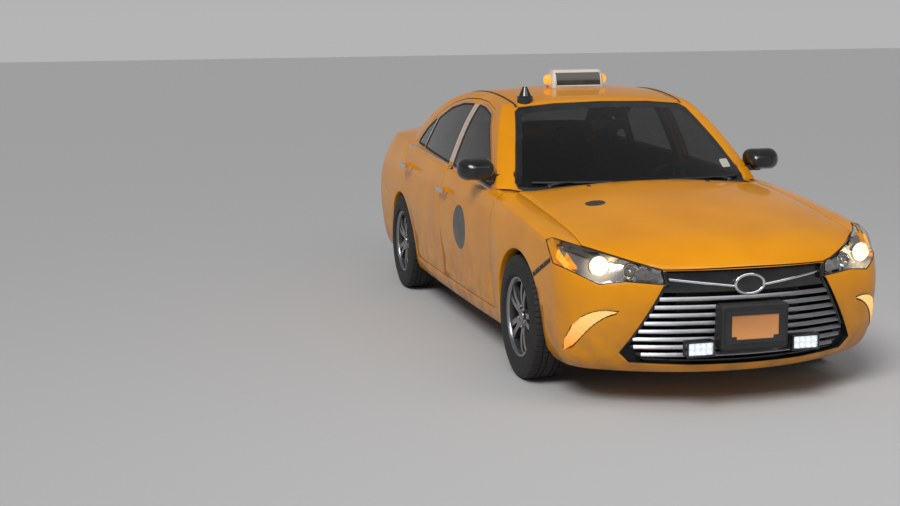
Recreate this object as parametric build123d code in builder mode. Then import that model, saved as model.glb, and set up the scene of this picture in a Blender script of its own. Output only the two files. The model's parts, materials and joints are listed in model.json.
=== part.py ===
"""Four-door saloon taxi, built from hollow body panels, doors, lids, cabin furniture and running gear.

The car faces -Y, +X is its left side and the road is at Z=0. The origin is on the road, in the
middle of the length and width. All sizes are millimetres.
"""

import os
from collections import namedtuple
from math import radians, tan

from build123d import *

os.makedirs("parts", exist_ok=True)

# Overall sizes
body_length = 4850
body_width = 1821
body_height = 1471
wheelbase = 2776
front_overhang = 960
guard_proud = 50  # how far the rubber bumper guard stands ahead of the nose

# Walls and gaps
door_thick = 65
skin_thick = 25
frame_thick = 40
glass_thick = 5
glass_inset = 3
door_gap = 5
panel_gap = 0.4
seat_gap = 0.3

# Wheels and steering
tyre_radius = 334
rim_radius = 216
track = 1585
front_arch_radius = 368
rear_arch_radius = 356
liner_clearance = 22
liner_thick = 4
kingpin_lean = 12
kingpin_foot_x = 755
kingpin_foot_z = 190

# Reference places along the car
nose = -(body_length + guard_proud) / 2 + guard_proud
tail = nose + body_length
front_axle = nose + front_overhang
rear_axle = front_axle + wheelbase
half = body_width / 2
cowl = front_axle + 440
backlight_foot = rear_axle + 314
sill_bottom = 185
floor_top = 240
door_bottom = 290
belt_front = 930

# Door hinges
hinge_x = half - 42
hinge_radius = 60
front_hinge_y = front_axle + 555
rear_hinge_y = front_hinge_y + 1110
hinge_heights = (430, 780)
pin_radius = 6
pin_clearance = 0.06
pin_length = 96
arm_height = 34
post_depth = hinge_radius + 22

# The body's plan outline at each height. The insets are from half the body width.
PlanLevel = namedtuple(
    "PlanLevel",
    "z nose nose_corner front_in mid_in rear_in tail_corner tail front_radius rear_radius",
)
PLAN_LEVELS = [
    PlanLevel(sill_bottom, nose + 95, nose + 400, 120, 75, 120, tail - 330, tail - 90, 240, 220),
    PlanLevel(300, nose + 20, nose + 290, 60, 32, 65, tail - 240, tail - 30, 270, 240),
    PlanLevel(480, nose, nose + 250, 42, 13, 42, tail - 210, tail, 290, 250),
    PlanLevel(660, nose + 15, nose + 265, 38, 0, 34, tail - 220, tail - 8, 300, 250),
    PlanLevel(780, nose + 60, nose + 330, 42, 4, 42, tail - 250, tail - 25, 320, 250),
    PlanLevel(900, nose + 140, nose + 430, 65, 25, 72, tail - 280, tail - 45, 340, 250),
    PlanLevel(1010, nose + 230, nose + 540, 110, 72, 125, tail - 310, tail - 60, 350, 250),
    PlanLevel(1160, nose + 330, nose + 640, 180, 140, 195, tail - 340, tail - 85, 350, 250),
]

# The top line of the lower body: hood, belt and boot deck, at the middle and at crown_x.
crown_x = 950
TopPoint = namedtuple("TopPoint", "name mid_y mid_z side_y side_z")
TOP_LINE = [
    TopPoint("start", nose - 150, 640, nose - 150, 560),
    TopPoint("hood_lip", nose + 45, 712, nose + 45, 600),
    TopPoint("hood_bend", nose + 170, 790, nose + 300, 730),
    TopPoint("hood_front", nose + 340, 850, nose + 520, 800),
    TopPoint("hood_mid", nose + 860, 945, nose + 960, 855),
    TopPoint("cowl", cowl, 996, cowl + 100, 905),
    TopPoint("deck_front", backlight_foot, 1112, backlight_foot - 150, 1000),
    TopPoint("deck_mid", tail - 450, 1128, tail - 450, 1005),
    TopPoint("deck_lip", tail - 90, 1105, tail - 70, 985),
    TopPoint("end", tail + 150, 1060, tail + 150, 950),
]

# The cabin's half-width at each height, at its front, middle and rear.
CabinLevel = namedtuple("CabinLevel", "z front_in mid_in rear_in")
CABIN_LEVELS = [
    CabinLevel(860, 110, 72, 140),
    CabinLevel(1000, 145, 102, 175),
    CabinLevel(1150, 215, 162, 242),
    CabinLevel(1300, 300, 238, 320),
    CabinLevel(1400, 365, 305, 380),
    CabinLevel(1500, 430, 372, 445),
]
cabin_front = front_axle + 240
cabin_mid = front_axle + 1540
cabin_back = rear_axle + 464

# The cabin's profile, windscreen to rear window, at the middle and at crown_x.
CABIN_LINE = [
    TopPoint("screen_foot", cowl - 70, 957, cowl + 280, 900),
    TopPoint("screen_mid", cowl + 320, 1222, cowl + 560, 1120),
    TopPoint("header", cowl + 710, body_height - 53, cowl + 850, body_height - 135),
    TopPoint("roof_mid", cabin_mid + 140, body_height, cabin_mid + 140, body_height - 92),
    TopPoint("roof_rear", backlight_foot - 790, body_height - 46, backlight_foot - 920, body_height - 130),
    TopPoint("backlight_mid", backlight_foot - 370, 1305, backlight_foot - 480, 1235),
    TopPoint("backlight_foot", backlight_foot + 30, 1106, backlight_foot - 170, 1050),
]
cabin_base = 700


def plan_section(level, z, inset):
    """One closed plan outline of the lower body, pulled in by inset all round."""
    front_x = half - level.front_in - inset
    mid_x = half - level.mid_in - inset
    rear_x = half - level.rear_in - inset
    nose_corner = level.nose_corner + inset
    tail_corner = level.tail_corner - inset
    middle = (front_axle + rear_axle) / 2
    with BuildSketch(Plane.XY.offset(z)) as section:
        with BuildLine():
            ThreePointArc((-front_x, nose_corner), (0, level.nose + inset), (front_x, nose_corner))
            ThreePointArc((front_x, nose_corner), (mid_x, middle), (rear_x, tail_corner))
            ThreePointArc((rear_x, tail_corner), (0, level.tail - inset), (-rear_x, tail_corner))
            ThreePointArc((-rear_x, tail_corner), (-mid_x, middle), (-front_x, nose_corner))
        make_face()
        fillet(section.vertices().sort_by(Axis.Y)[-2:], radius=level.rear_radius - inset)
        fillet(section.vertices().sort_by(Axis.Y)[:2], radius=level.front_radius - inset)
    return section.sketch.face()


def crowned_points(line, x, drop):
    """The points of a top line at one place across the car, with a parabolic crown."""
    share = (x / crown_x) ** 2
    return {
        p.name: (p.mid_y + (p.side_y - p.mid_y) * share, p.mid_z + (p.side_z - p.mid_z) * share - drop)
        for p in line
    }


def top_section(x, drop):
    """The lower body's profile at one place across the car."""
    p = crowned_points(TOP_LINE, x, drop)
    with BuildSketch(Plane.YZ.offset(x)) as section:
        with BuildLine():
            Polyline((nose - 150, 100), p["start"], p["hood_lip"])
            ThreePointArc(p["hood_lip"], p["hood_bend"], p["hood_front"])
            ThreePointArc(p["hood_front"], p["hood_mid"], p["cowl"])
            Line(p["cowl"], p["deck_front"])
            ThreePointArc(p["deck_front"], p["deck_mid"], p["deck_lip"])
            Polyline(p["deck_lip"], p["end"], (tail + 150, 100), (nose - 150, 100))
        make_face()
    return section.sketch.face()


def lower_form(inset, bottom, drop):
    """The closed form of the body below the windows."""
    levels = [(bottom if level is PLAN_LEVELS[0] else level.z, level) for level in PLAN_LEVELS]
    with BuildPart() as crown:
        loft(sections=[top_section(x, drop) for x in (-crown_x, 0, crown_x)])
    with BuildPart() as form:
        loft(sections=[plan_section(level, z, inset) for z, level in levels])
        add(crown.part, mode=Mode.INTERSECT)
    return form.part


def cabin_section(level, inset):
    """One plan outline of the cabin, whose ends lie beyond the windscreen and rear window."""
    front_x, mid_x, rear_x = (half - i - inset for i in (level.front_in, level.mid_in, level.rear_in))
    with BuildSketch(Plane.XY.offset(level.z)) as section:
        with BuildLine():
            ThreePointArc((front_x, cabin_front), (mid_x, cabin_mid), (rear_x, cabin_back))
            Line((rear_x, cabin_back), (-rear_x, cabin_back))
            ThreePointArc((-rear_x, cabin_back), (-mid_x, cabin_mid), (-front_x, cabin_front))
            Line((-front_x, cabin_front), (front_x, cabin_front))
        make_face()
    return section.sketch.face()


def cabin_profile(x, drop):
    """The cabin's profile at one place across the car."""
    p = crowned_points(CABIN_LINE, x, drop)
    foot, end = p["screen_foot"], p["backlight_foot"]
    with BuildSketch(Plane.YZ.offset(x)) as section:
        with BuildLine():
            Line((foot[0], cabin_base), foot)
            ThreePointArc(foot, p["screen_mid"], p["header"])
            ThreePointArc(p["header"], p["roof_mid"], p["roof_rear"])
            ThreePointArc(p["roof_rear"], p["backlight_mid"], end)
            Polyline(end, (end[0], cabin_base), (foot[0], cabin_base))
        make_face()
    return section.sketch.face()


def cabin_form(inset, drop):
    """The closed form of the body above the belt line."""
    with BuildPart() as crown:
        loft(sections=[cabin_profile(x, drop) for x in (-crown_x, 0, crown_x)])
    with BuildPart() as form:
        loft(sections=[cabin_section(level, inset) for level in CABIN_LEVELS])
        add(crown.part, mode=Mode.INTERSECT)
    return form.part


def side_block(outline, x_from, x_to, grow=0.0, corner=0.0):
    """A block drawn in side view, from x_from to x_to."""
    with BuildPart() as block:
        with BuildSketch(Plane.YZ.offset(x_from)) as drawn:
            with BuildLine():
                Polyline(*outline, close=True)
            make_face()
            if corner:
                fillet(drawn.vertices(), radius=corner)
            if grow:
                offset(amount=grow, kind=Kind.INTERSECTION)
        extrude(amount=x_to - x_from)
    return block.part


def front_block(outline, y_from, y_to, grow=0.0, corner=0.0):
    """A block drawn in front view, from y_from back to y_to."""
    with BuildPart() as block:
        with BuildSketch(Plane.XZ.offset(-y_from)) as drawn:
            with BuildLine():
                Polyline(*outline, close=True)
            make_face()
            if corner:
                fillet(drawn.vertices(), radius=corner)
            if grow:
                offset(amount=grow, kind=Kind.INTERSECTION)
        extrude(amount=y_from - y_to)
    return block.part


def plan_block(outline, z_from, z_to, grow=0.0, corner=0.0):
    """A block drawn in plan view, from z_from up to z_to."""
    with BuildPart() as block:
        with BuildSketch(Plane.XY.offset(z_from)) as drawn:
            with BuildLine():
                Polyline(*outline, close=True)
            make_face()
            if corner:
                fillet(drawn.vertices(), radius=corner)
            if grow:
                offset(amount=grow, kind=Kind.INTERSECTION)
        extrude(amount=z_to - z_from)
    return block.part


def box_block(x_span, y_span, z_span):
    """A plain block between two corners."""
    with BuildPart() as block:
        with Locations([(sum(x_span) / 2, sum(y_span) / 2, sum(z_span) / 2)]):
            Box(x_span[1] - x_span[0], y_span[1] - y_span[0], z_span[1] - z_span[0])
    return block.part


def cross_rod(radius, y, z, x_from, x_to):
    """A round rod across the car."""
    with BuildPart() as rod:
        with BuildSketch(Plane.YZ.offset(x_from)):
            with Locations([(y, z)]):
                Circle(radius)
        extrude(amount=x_to - x_from)
    return rod.part


def upright_rod(radius, x, y, z_from, z_to):
    """A round upright rod."""
    with BuildPart() as rod:
        with BuildSketch(Plane.XY.offset(z_from)):
            with Locations([(x, y)]):
                Circle(radius)
        extrude(amount=z_to - z_from)
    return rod.part


def write(part, name):
    """Labels a finished piece and writes its file."""
    part.label = name
    export_step(part, f"parts/{name}.step")


def mirrored(part):
    """The same piece for the other side of the car."""
    return mirror(part, about=Plane.YZ)


def left_and_right(*parts):
    """Pieces for the left side together with their mirror images."""
    return Compound(children=[piece for part in parts for piece in (part, mirrored(part))])

# Lids, openings and inner wheelhouses
far = half + 100
belt_cut = 940
shoulder_z = 978
frame_seam = 0.3
shut_gap = 6.5
door_split = rear_hinge_y + 15
window_corner = 14
pocket_depth = 16
handle_length = 170
hood_rear = cowl - 50
hood_bottom = 711
hood_hinge_y = front_hinge_y - 80
hood_hinge_z = 925
boot_bottom = 705
boot_hinge_y = backlight_foot + 55
boot_hinge_z = 1092
boot_hinge_radius = 28
boot_half = 600
tail_lamp_inner = 552
plate_hole_spacing = 178
plate_hole_radius = 3.5
lip_x = half - 80
front_wall_x = 476
rear_wall_x = 556
front_liner_radius = front_arch_radius + liner_clearance + liner_thick
rear_liner_radius = rear_arch_radius + liner_clearance + liner_thick
sill_inner = 745
boot_floor = 425
heel_y = rear_axle - 650

# Outlines in side view, as (y, z)
FRONT_DOOR = [
    (front_hinge_y - hinge_radius - 20, door_bottom),
    (door_split, door_bottom),
    (door_split, belt_cut + 60),
    (door_split + 15, 1396),
    (door_split - 190, 1388),
    (front_axle + 1270, 1352),
    (front_axle + 975, 1161),
    (front_axle + 680, belt_cut),
    (front_hinge_y - hinge_radius - 20, belt_cut),
]
REAR_DOOR = [
    (rear_hinge_y - hinge_radius - 2, door_bottom),
    (rear_axle - 414, door_bottom),
    (rear_axle - 392, 439),
    (rear_axle - 352, 537),
    (rear_axle - 287, 621),
    (rear_axle - 191, 760),
    (rear_axle - 96, 870),
    (rear_axle + 24, 985),
    (rear_axle + 84, 1035),
    (rear_axle + 34, 1090),
    (rear_axle - 116, 1185),
    (rear_axle - 316, 1275),
    (rear_axle - 536, 1345),
    (rear_axle - 786, 1385),
    (door_split + 15, 1396),
    (door_split, shoulder_z),
    (rear_hinge_y - hinge_radius - 2, shoulder_z - 3),
]
FRONT_SEAM = [
    (front_axle + 670, belt_cut + 2.3),
    (front_axle + 705, belt_cut + 0.8),
    (rear_hinge_y - hinge_radius + 5, shoulder_z + 1.3),
]
REAR_SEAM = [(door_split - 20, shoulder_z - 0.6), (rear_axle + 104, shoulder_z + 54.7)]
FRONT_WINDOW = [
    (front_axle + 740, belt_front + 22),
    (door_split - 62, belt_front + 62),
    (door_split - 50, 1362),
    (front_axle + 1480, 1354),
    (front_axle + 1300, 1322),
    (front_axle + 1030, 1150),
]
REAR_WINDOW = [
    (door_split + 58, belt_front + 66),
    (rear_axle - 260, belt_front + 98),
    (rear_axle - 330, 1230),
    (rear_axle - 550, 1312),
    (rear_axle - 790, 1352),
    (door_split + 68, 1362),
]
QUARTER_WINDOW = [
    (rear_axle - 222, belt_front + 100),
    (rear_axle + 30, belt_front + 110),
    (rear_axle - 110, 1150),
    (rear_axle - 285, 1228),
]
HEADLAMP_SIDE = [
    (nose - 80, 560),
    (nose + 360, 660),
    (nose + 440, 735),
    (nose + 560, 838),
    (nose + 300, 860),
    (nose - 80, 860),
]
TAIL_LAMP_SIDE = [
    (tail - 330, 930),
    (tail - 150, 780),
    (tail + 60, 760),
    (tail + 60, 1000),
    (tail - 200, 990),
]
FRONT_BUMPER_SIDE = [
    (nose - 80, 150),
    (front_axle - 260, 150),
    (front_axle - 254, 600),
    (nose + 440, 735),
    (nose + 360, 760),
    (nose - 80, 760),
]
REAR_BUMPER_SIDE = [
    (rear_axle + 250, 150),
    (tail + 80, 150),
    (tail + 80, 700),
    (tail - 300, 690),
    (rear_axle + 250, 600),
]

# Outlines in plan view, as (x, y), from the middle line outwards and back to it
HOOD = [
    (0, hood_rear),
    (420, hood_rear + 14),
    (640, hood_rear + 52),
    (712, hood_hinge_y + 22),
    (732, hood_hinge_y + 4),
    (738, front_axle + 60),
    (730, front_axle - 380),
    (740, nose + 300),
    (740, nose - 60),
    (0, nose - 60),
]
HOOD_SWEEP = [
    (0, hood_rear + 15),
    (420, hood_rear + 32),
    (640, hood_rear + 77),
    (700, hood_hinge_y + 33),
    (712, hood_hinge_y + 38),
    (738, hood_hinge_y + 38),
    (738, hood_hinge_y - 100),
    (0, hood_hinge_y - 100),
]
BOOT_LID = [
    (0, boot_hinge_y - 60),
    (boot_half - 20, boot_hinge_y - 60),
    (boot_half, boot_hinge_y + 30),
    (boot_half - 44, tail - 300),
    (boot_half - 44, tail + 60),
    (0, tail + 60),
]
ROOF = [
    (0, cowl + 200),
    (520, cowl + 200),
    (520, cowl + 765),
    (545, cabin_mid + 140),
    (520, backlight_foot - 880),
    (520, backlight_foot - 200),
    (0, backlight_foot - 200),
]

# Outlines in front view, as (x, z)
HOOD_FRONT = [
    (0, hood_bottom + 2),
    (425, hood_bottom),
    (560, hood_bottom + 37),
    (700, hood_bottom + 79),
    (820, hood_bottom + 111),
    (960, hood_bottom + 139),
    (960, 1200),
    (0, 1200),
]
WINDSCREEN = [
    (0, 984), (400, 972), (700, 948), (708, 980), (640, 1160), (556, 1352), (520, 1376), (300, 1396),
    (0, 1403),
]
REAR_SCREEN = [(0, 1128), (560, 1112), (604, 1135), (545, 1320), (480, 1372), (0, 1398)]
HEADLAMP = [
    (414, 640),
    (428, 706),
    (560, 744),
    (700, 786),
    (820, 818),
    (960, 846),
    (960, 745),
    (840, 700),
    (720, 640),
    (600, 655),
]
FOG_LAMP = [
    (634, 512),
    (648, 494),
    (700, 474),
    (748, 434),
    (784, 376),
    (812, 308),
    (836, 286),
    (842, 350),
    (826, 424),
    (786, 482),
    (724, 512),
]
GRILLE = [(0, 232), (300, 234), (570, 246), (622, 300), (430, 636), (404, 640), (412, 704), (0, 706)]


def mirror_outline(points):
    """An outline closed with its mirror image across the middle of the car."""
    return points + [(-across, along) for across, along in reversed(points) if across]


def seam_strip(line):
    """The hairline between a door's panel and its window frame, as an outline in side view."""
    return line + [(y, z + frame_seam) for y, z in reversed(line)]


def hinged_region(outline, hinge_y, top, grow):
    """A door's region, whose leading edge below its top corner is turned about the hinge line."""
    with BuildPart() as corner:
        add(box_block((200, far + 50), (hinge_y - 200, hinge_y), (0, top - grow)))
        add(upright_rod(hinge_radius + grow, hinge_x, hinge_y, 0, top), mode=Mode.SUBTRACT)
    with BuildPart() as region:
        add(side_block(outline, 300, far, grow=grow))
        add(corner.part, mode=Mode.SUBTRACT)
        inner = hinge_x - post_depth + 6 - grow
        add(box_block((200, inner), (nose, tail), (0, belt_cut - grow)), mode=Mode.SUBTRACT)
    return region.part


def hood_region(grow):
    """The hood's region of the skin."""
    with BuildPart() as region:
        add(plan_block(mirror_outline(HOOD), 600, 1100, grow=grow))
        add(front_block(mirror_outline(HOOD_FRONT), nose - 100, cowl + 200, grow=grow), mode=Mode.INTERSECT)
    return region.part


def boot_region(grow):
    """The boot lid's region of the skin, whose front edge is turned about its hinge line."""
    with BuildPart() as region:
        add(plan_block(mirror_outline(BOOT_LID), boot_bottom - grow, 1200, grow=grow))
        add(box_block((-far, far), (boot_hinge_y - 200, boot_hinge_y), (600, 1300)), mode=Mode.SUBTRACT)
        reach = boot_half - 30 + grow
        add(cross_rod(boot_hinge_radius + grow, boot_hinge_y, boot_hinge_z, -reach, reach))
    return region.part


def headlamp_region(grow):
    """The left headlamp's region of the skin."""
    with BuildPart() as region:
        add(front_block(HEADLAMP, nose - 100, nose + 700, grow=grow))
        add(side_block(HEADLAMP_SIDE, 300, far, grow=grow), mode=Mode.INTERSECT)
    return region.part


# Whole forms that every panel is cut from
with BuildPart() as outer_form:
    add(lower_form(0, sill_bottom, 0))
    add(cabin_form(0, 0))
with BuildPart() as hollow_form:
    add(lower_form(door_thick, floor_top, skin_thick))
    add(cabin_form(frame_thick, skin_thick + 10))
with BuildPart() as glass_form:
    add(cabin_form(glass_inset, glass_inset))
    add(cabin_form(glass_inset + glass_thick, glass_inset + glass_thick), mode=Mode.SUBTRACT)
with BuildPart() as wheel_voids:
    for side in (1, -1):
        lip, front_wall, rear_wall, outside = (x * side for x in (lip_x, front_wall_x, rear_wall_x, far))
        add(cross_rod(front_arch_radius, front_axle, tyre_radius, min(lip, outside), max(lip, outside)))
        inner_x, outer_x = sorted((front_wall, lip))
        add(cross_rod(front_liner_radius, front_axle, tyre_radius, inner_x, outer_x))
        add(cross_rod(rear_arch_radius, rear_axle, tyre_radius, min(lip, outside), max(lip, outside)))
        add(cross_rod(rear_liner_radius, rear_axle, tyre_radius, min(rear_wall, lip), max(rear_wall, lip)))
with BuildPart() as nose_back:
    add(lower_form(20, sill_bottom, 0))
with BuildPart() as nose_seat:
    add(lower_form(20 - seat_gap, sill_bottom, 0))
with BuildPart() as walls:
    add(outer_form.part)
    add(hollow_form.part, mode=Mode.SUBTRACT)
    add(wheel_voids.part, mode=Mode.SUBTRACT)

# Regions of the skin, with and without their gaps
front_region = hinged_region(FRONT_DOOR, front_hinge_y, belt_cut, 0)
rear_region = hinged_region(REAR_DOOR, rear_hinge_y, shoulder_z, 0)
front_region_gap = hinged_region(FRONT_DOOR, front_hinge_y, belt_cut, door_gap)
rear_region_gap = hinged_region(REAR_DOOR, rear_hinge_y, shoulder_z, door_gap)
hood_gap = hood_region(door_gap)
hood_sweep = plan_block(mirror_outline(HOOD_SWEEP), hood_hinge_z - 45, 1100)
boot_gap = boot_region(door_gap)
lamp_gap = headlamp_region(panel_gap)
fender_rear = front_hinge_y - hinge_radius - door_gap + 12
screen_region = front_block(mirror_outline(WINDSCREEN), hood_rear + door_gap, cabin_mid - 200)
backlight_region = front_block(mirror_outline(REAR_SCREEN), cabin_mid + 200, backlight_foot + 60)
front_bumper_gap = side_block(FRONT_BUMPER_SIDE, -far, far, grow=panel_gap)
rear_bumper_gap = side_block(REAR_BUMPER_SIDE, -far, far, grow=panel_gap)
tail_lamp_gap = side_block(TAIL_LAMP_SIDE, tail_lamp_inner - panel_gap, far, grow=panel_gap)

# Doors with their handles and window glass, made for the left side and mirrored for the right
with BuildPart() as pillar_wedge:
    with BuildSketch(Plane.YZ.offset(500)):
        with BuildLine():
            Polyline(
                (door_split - door_gap - 96, shoulder_z + 2),
                (door_split + 500, shoulder_z + 2),
                (door_split + 500, 1500),
                (door_split - door_gap + 3, 1500),
                close=True,
            )
        make_face()
    extrude(amount=450, dir=(1, 0.3, 0))


# The front door's end face, which slants back from its skin to clear the turned edge of the rear door
with BuildPart() as end_slant:
    outer_corner = (half + 30, rear_hinge_y - 37)
    inner_corner = (hinge_x - 100, rear_hinge_y - 123)
    slant = [outer_corner, inner_corner, (hinge_x - 100, door_split + 50), (half + 30, door_split + 50)]
    add(plan_block(slant, 0, shoulder_z + door_gap))
    add(nose_back.part, mode=Mode.INTERSECT)


def hinge_pockets(hinge_y):
    """The hollows and pin bores that a door has for its two hinges."""
    with BuildPart() as pockets:
        for height in hinge_heights:
            reach = arm_height / 2 + 5
            add(
                box_block(
                    (hinge_x - 100, hinge_x + pocket_depth),
                    (hinge_y - 75, hinge_y + pocket_depth),
                    (height - reach, height + reach),
                )
            )
            reach = pin_length / 2 + 4
            add(upright_rod(pin_radius + pin_clearance, hinge_x, hinge_y, height - reach, height + reach))
    return pockets.part


def door_handle(hand_y, height):
    """A pull handle that stands off the door on two feet."""
    with BuildPart() as grip:
        with Locations([(half + 24, hand_y, height)]):
            Box(14, handle_length, 28)
        fillet(grip.edges(), radius=6)
        foot_offset = handle_length / 2 - 24
        with Locations([(half - 14, hand_y + d, height) for d in (-foot_offset, foot_offset)]):
            Box(68, 26, 18)
        add(lower_form(1, sill_bottom, 1), mode=Mode.SUBTRACT)
    return grip.part


DoorSpec = namedtuple("DoorSpec", "name region hinge_y windows seam handle_y handle_z")
rear_windows = [REAR_WINDOW, QUARTER_WINDOW]
DOORS = [
    DoorSpec("front", front_region, front_hinge_y, [FRONT_WINDOW], FRONT_SEAM, door_split - 182, 851),
    DoorSpec("rear", rear_region, rear_hinge_y, rear_windows, REAR_SEAM, rear_axle - 252, 906),
]
for spec in DOORS:
    with BuildPart() as door:
        add(outer_form.part)
        add(spec.region, mode=Mode.INTERSECT)
        add(hollow_form.part, mode=Mode.SUBTRACT)
        for window in spec.windows:
            add(side_block(window, 300, far, corner=window_corner), mode=Mode.SUBTRACT)
        add(hinge_pockets(spec.hinge_y), mode=Mode.SUBTRACT)
        if spec.name == "front":
            add(rear_region_gap, mode=Mode.SUBTRACT)
            add(pillar_wedge.part, mode=Mode.SUBTRACT)
            add(end_slant.part, mode=Mode.SUBTRACT)
            shut_top = shoulder_z + door_gap
            shut_edge = upright_rod(hinge_radius + shut_gap, hinge_x, rear_hinge_y, 0, shut_top - 1)
            add(shut_edge, mode=Mode.SUBTRACT)
        add(side_block(seam_strip(spec.seam), 300, far), mode=Mode.SUBTRACT)
        add(door_handle(spec.handle_y, spec.handle_z))
    write(door.part, f"door_{spec.name}_left")
    write(mirrored(door.part), f"door_{spec.name}_right")

    with BuildPart() as panes:
        for window in spec.windows:
            add(side_block(window, 300, far, grow=-seat_gap, corner=window_corner))
        add(glass_form.part, mode=Mode.INTERSECT)
    write(panes.part, f"window_{spec.name}_left")
    write(mirrored(panes.part), f"window_{spec.name}_right")

# Door mirrors, each a shell that tapers forwards from its glass, on a foot at the corner of the window
mirror_glass_y = front_axle + 808
MirrorSection = namedtuple("MirrorSection", "ahead x z width height corner")
MIRROR_SECTIONS = [
    MirrorSection(0, 900, 1050, 208, 118, 46),
    MirrorSection(50, 900, 1050, 210, 124, 56),
    MirrorSection(96, 893, 1046, 176, 98, 46),
    MirrorSection(124, 884, 1040, 112, 56, 26),
]
with BuildPart() as mirror_shell:
    for cut in MIRROR_SECTIONS:
        with BuildSketch(Plane.XZ.offset(cut.ahead - mirror_glass_y)):
            with Locations([(cut.x, cut.z)]):
                RectangleRounded(cut.width, cut.height, cut.corner)
    loft()
    with Locations([(822, front_axle + 760, 1004)]):
        Box(110, 66, 34)
    add(cabin_form(0, 0), mode=Mode.SUBTRACT)
    add(lower_form(0, sill_bottom, 0), mode=Mode.SUBTRACT)
write(mirror_shell.part, "mirror_left")
write(mirrored(mirror_shell.part), "mirror_right")

# Body sides: sill, pillars, roof rail and rear quarter in one pressing, with the hinge arms and pins
with BuildPart() as pillar_form:
    add(cabin_form(frame_thick + 4, frame_thick + 4))
    add(cabin_form(frame_thick + 34, frame_thick + 34), mode=Mode.SUBTRACT)
    add(box_block((300, far), (door_split - 45, door_split + 45), (900, 1440)), mode=Mode.INTERSECT)
with BuildPart() as body_side:
    add(box_block((0, far), (fender_rear + panel_gap, tail + 60), (sill_bottom - 5, 1600)))
    add(box_block((0, far), (front_axle, fender_rear + 20), (sill_bottom - 5, door_bottom)))
    add(walls.part, mode=Mode.INTERSECT)
    add(plan_block(mirror_outline(ROOF), 1250, 1500, grow=panel_gap), mode=Mode.SUBTRACT)
    add(screen_region, mode=Mode.SUBTRACT)
    add(backlight_region, mode=Mode.SUBTRACT)
    add(hood_gap, mode=Mode.SUBTRACT)
    add(hood_sweep, mode=Mode.SUBTRACT)
    add(boot_gap, mode=Mode.SUBTRACT)
    add(rear_bumper_gap, mode=Mode.SUBTRACT)
    add(tail_lamp_gap, mode=Mode.SUBTRACT)
    add(box_block((-5, sill_inner), (nose, tail + 60), (0, boot_floor)), mode=Mode.SUBTRACT)
    add(box_block((-5, 700), (cowl - 200, front_axle + 700), (0, 1300)), mode=Mode.SUBTRACT)
    front_of_lid = box_block((-5, boot_half + 10), (backlight_foot - 150, boot_hinge_y), (0, 1300))
    add(front_of_lid, mode=Mode.SUBTRACT)
    add(front_region_gap, mode=Mode.SUBTRACT)
    add(rear_region_gap, mode=Mode.SUBTRACT)
    add(box_block((sill_inner, sill_inner + 55), (fender_rear + 1, rear_axle - 400), (sill_bottom, 284)))
    add(pillar_form.part)
    for post_y in (front_hinge_y, rear_hinge_y):
        post_x = (hinge_x - 118, hinge_x - post_depth)
        add(box_block(post_x, (post_y - 40, post_y + 40), (sill_bottom, belt_cut - door_gap)))
    for post_y in (front_hinge_y, rear_hinge_y):
        for height in hinge_heights:
            reach = arm_height / 2
            arm_z = (height - reach, height + reach)
            add(box_block((hinge_x - post_depth, hinge_x), (post_y - 8, post_y + 8), arm_z))
            add(upright_rod(pin_radius + 6, hinge_x, post_y, height - reach, height + reach))
            add(upright_rod(pin_radius, hinge_x, post_y, height - pin_length / 2, height + pin_length / 2))
write(body_side.part, "body_side_left")
write(mirrored(body_side.part), "body_side_right")

# Roof panel, between the windscreen and the rear window
with BuildPart() as roof:
    add(plan_block(mirror_outline(ROOF), 1250, 1500))
    add(walls.part, mode=Mode.INTERSECT)
    add(screen_region, mode=Mode.SUBTRACT)
    add(backlight_region, mode=Mode.SUBTRACT)
write(roof.part, "roof_panel")

# Windscreen and rear window
with BuildPart() as windscreen:
    add(front_block(mirror_outline(WINDSCREEN), hood_rear + door_gap, cabin_mid - 200, grow=-seat_gap))
    add(glass_form.part, mode=Mode.INTERSECT)
write(windscreen.part, "windscreen")
with BuildPart() as rear_window:
    add(front_block(mirror_outline(REAR_SCREEN), cabin_mid + 200, backlight_foot + 60, grow=-seat_gap))
    add(glass_form.part, mode=Mode.INTERSECT)
write(rear_window.part, "rear_window")

# Hood, with an ear at each rear corner that turns on a pin of the fender
with BuildPart() as hood:
    add(hood_region(0))
    add(walls.part, mode=Mode.INTERSECT)
    add(headlamp_region(door_gap), mode=Mode.SUBTRACT)
    add(mirrored(headlamp_region(door_gap)), mode=Mode.SUBTRACT)
    add(cross_rod(pin_radius + pin_clearance, hood_hinge_y, hood_hinge_z, -800, 800), mode=Mode.SUBTRACT)
write(hood.part, "hood")

# Boot lid, hinged along its front edge, with a bay and two holes for a number plate
plate_y = tail - 44
plate_z = 835
with BuildPart() as boot_lid:
    add(boot_region(0))
    add(walls.part, mode=Mode.INTERSECT)
    add(box_block((-165, 165), (plate_y, tail + 60), (plate_z - 90, plate_z + 90)), mode=Mode.SUBTRACT)
    with BuildSketch(Plane.XZ.offset(-plate_y)):
        with Locations([(-plate_hole_spacing / 2, plate_z), (plate_hole_spacing / 2, plate_z)]):
            Circle(plate_hole_radius)
    extrude(amount=22, mode=Mode.SUBTRACT)
write(boot_lid.part, "boot_lid")

# Fenders, each with the hood's hinge pin
with BuildPart() as fender:
    add(box_block((500, far), (nose, fender_rear), (door_bottom, 1000)))
    add(walls.part, mode=Mode.INTERSECT)
    add(front_bumper_gap, mode=Mode.SUBTRACT)
    add(hood_gap, mode=Mode.SUBTRACT)
    add(hood_sweep, mode=Mode.SUBTRACT)
    add(lamp_gap, mode=Mode.SUBTRACT)
    add(front_region_gap, mode=Mode.SUBTRACT)
    add(box_block((0, 700), (cowl - 200, cowl + 100), (0, 1300)), mode=Mode.SUBTRACT)
    add(cross_rod(pin_radius, hood_hinge_y, hood_hinge_z, 705, 760))
write(left_and_right(fender.part), "fenders")

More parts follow.
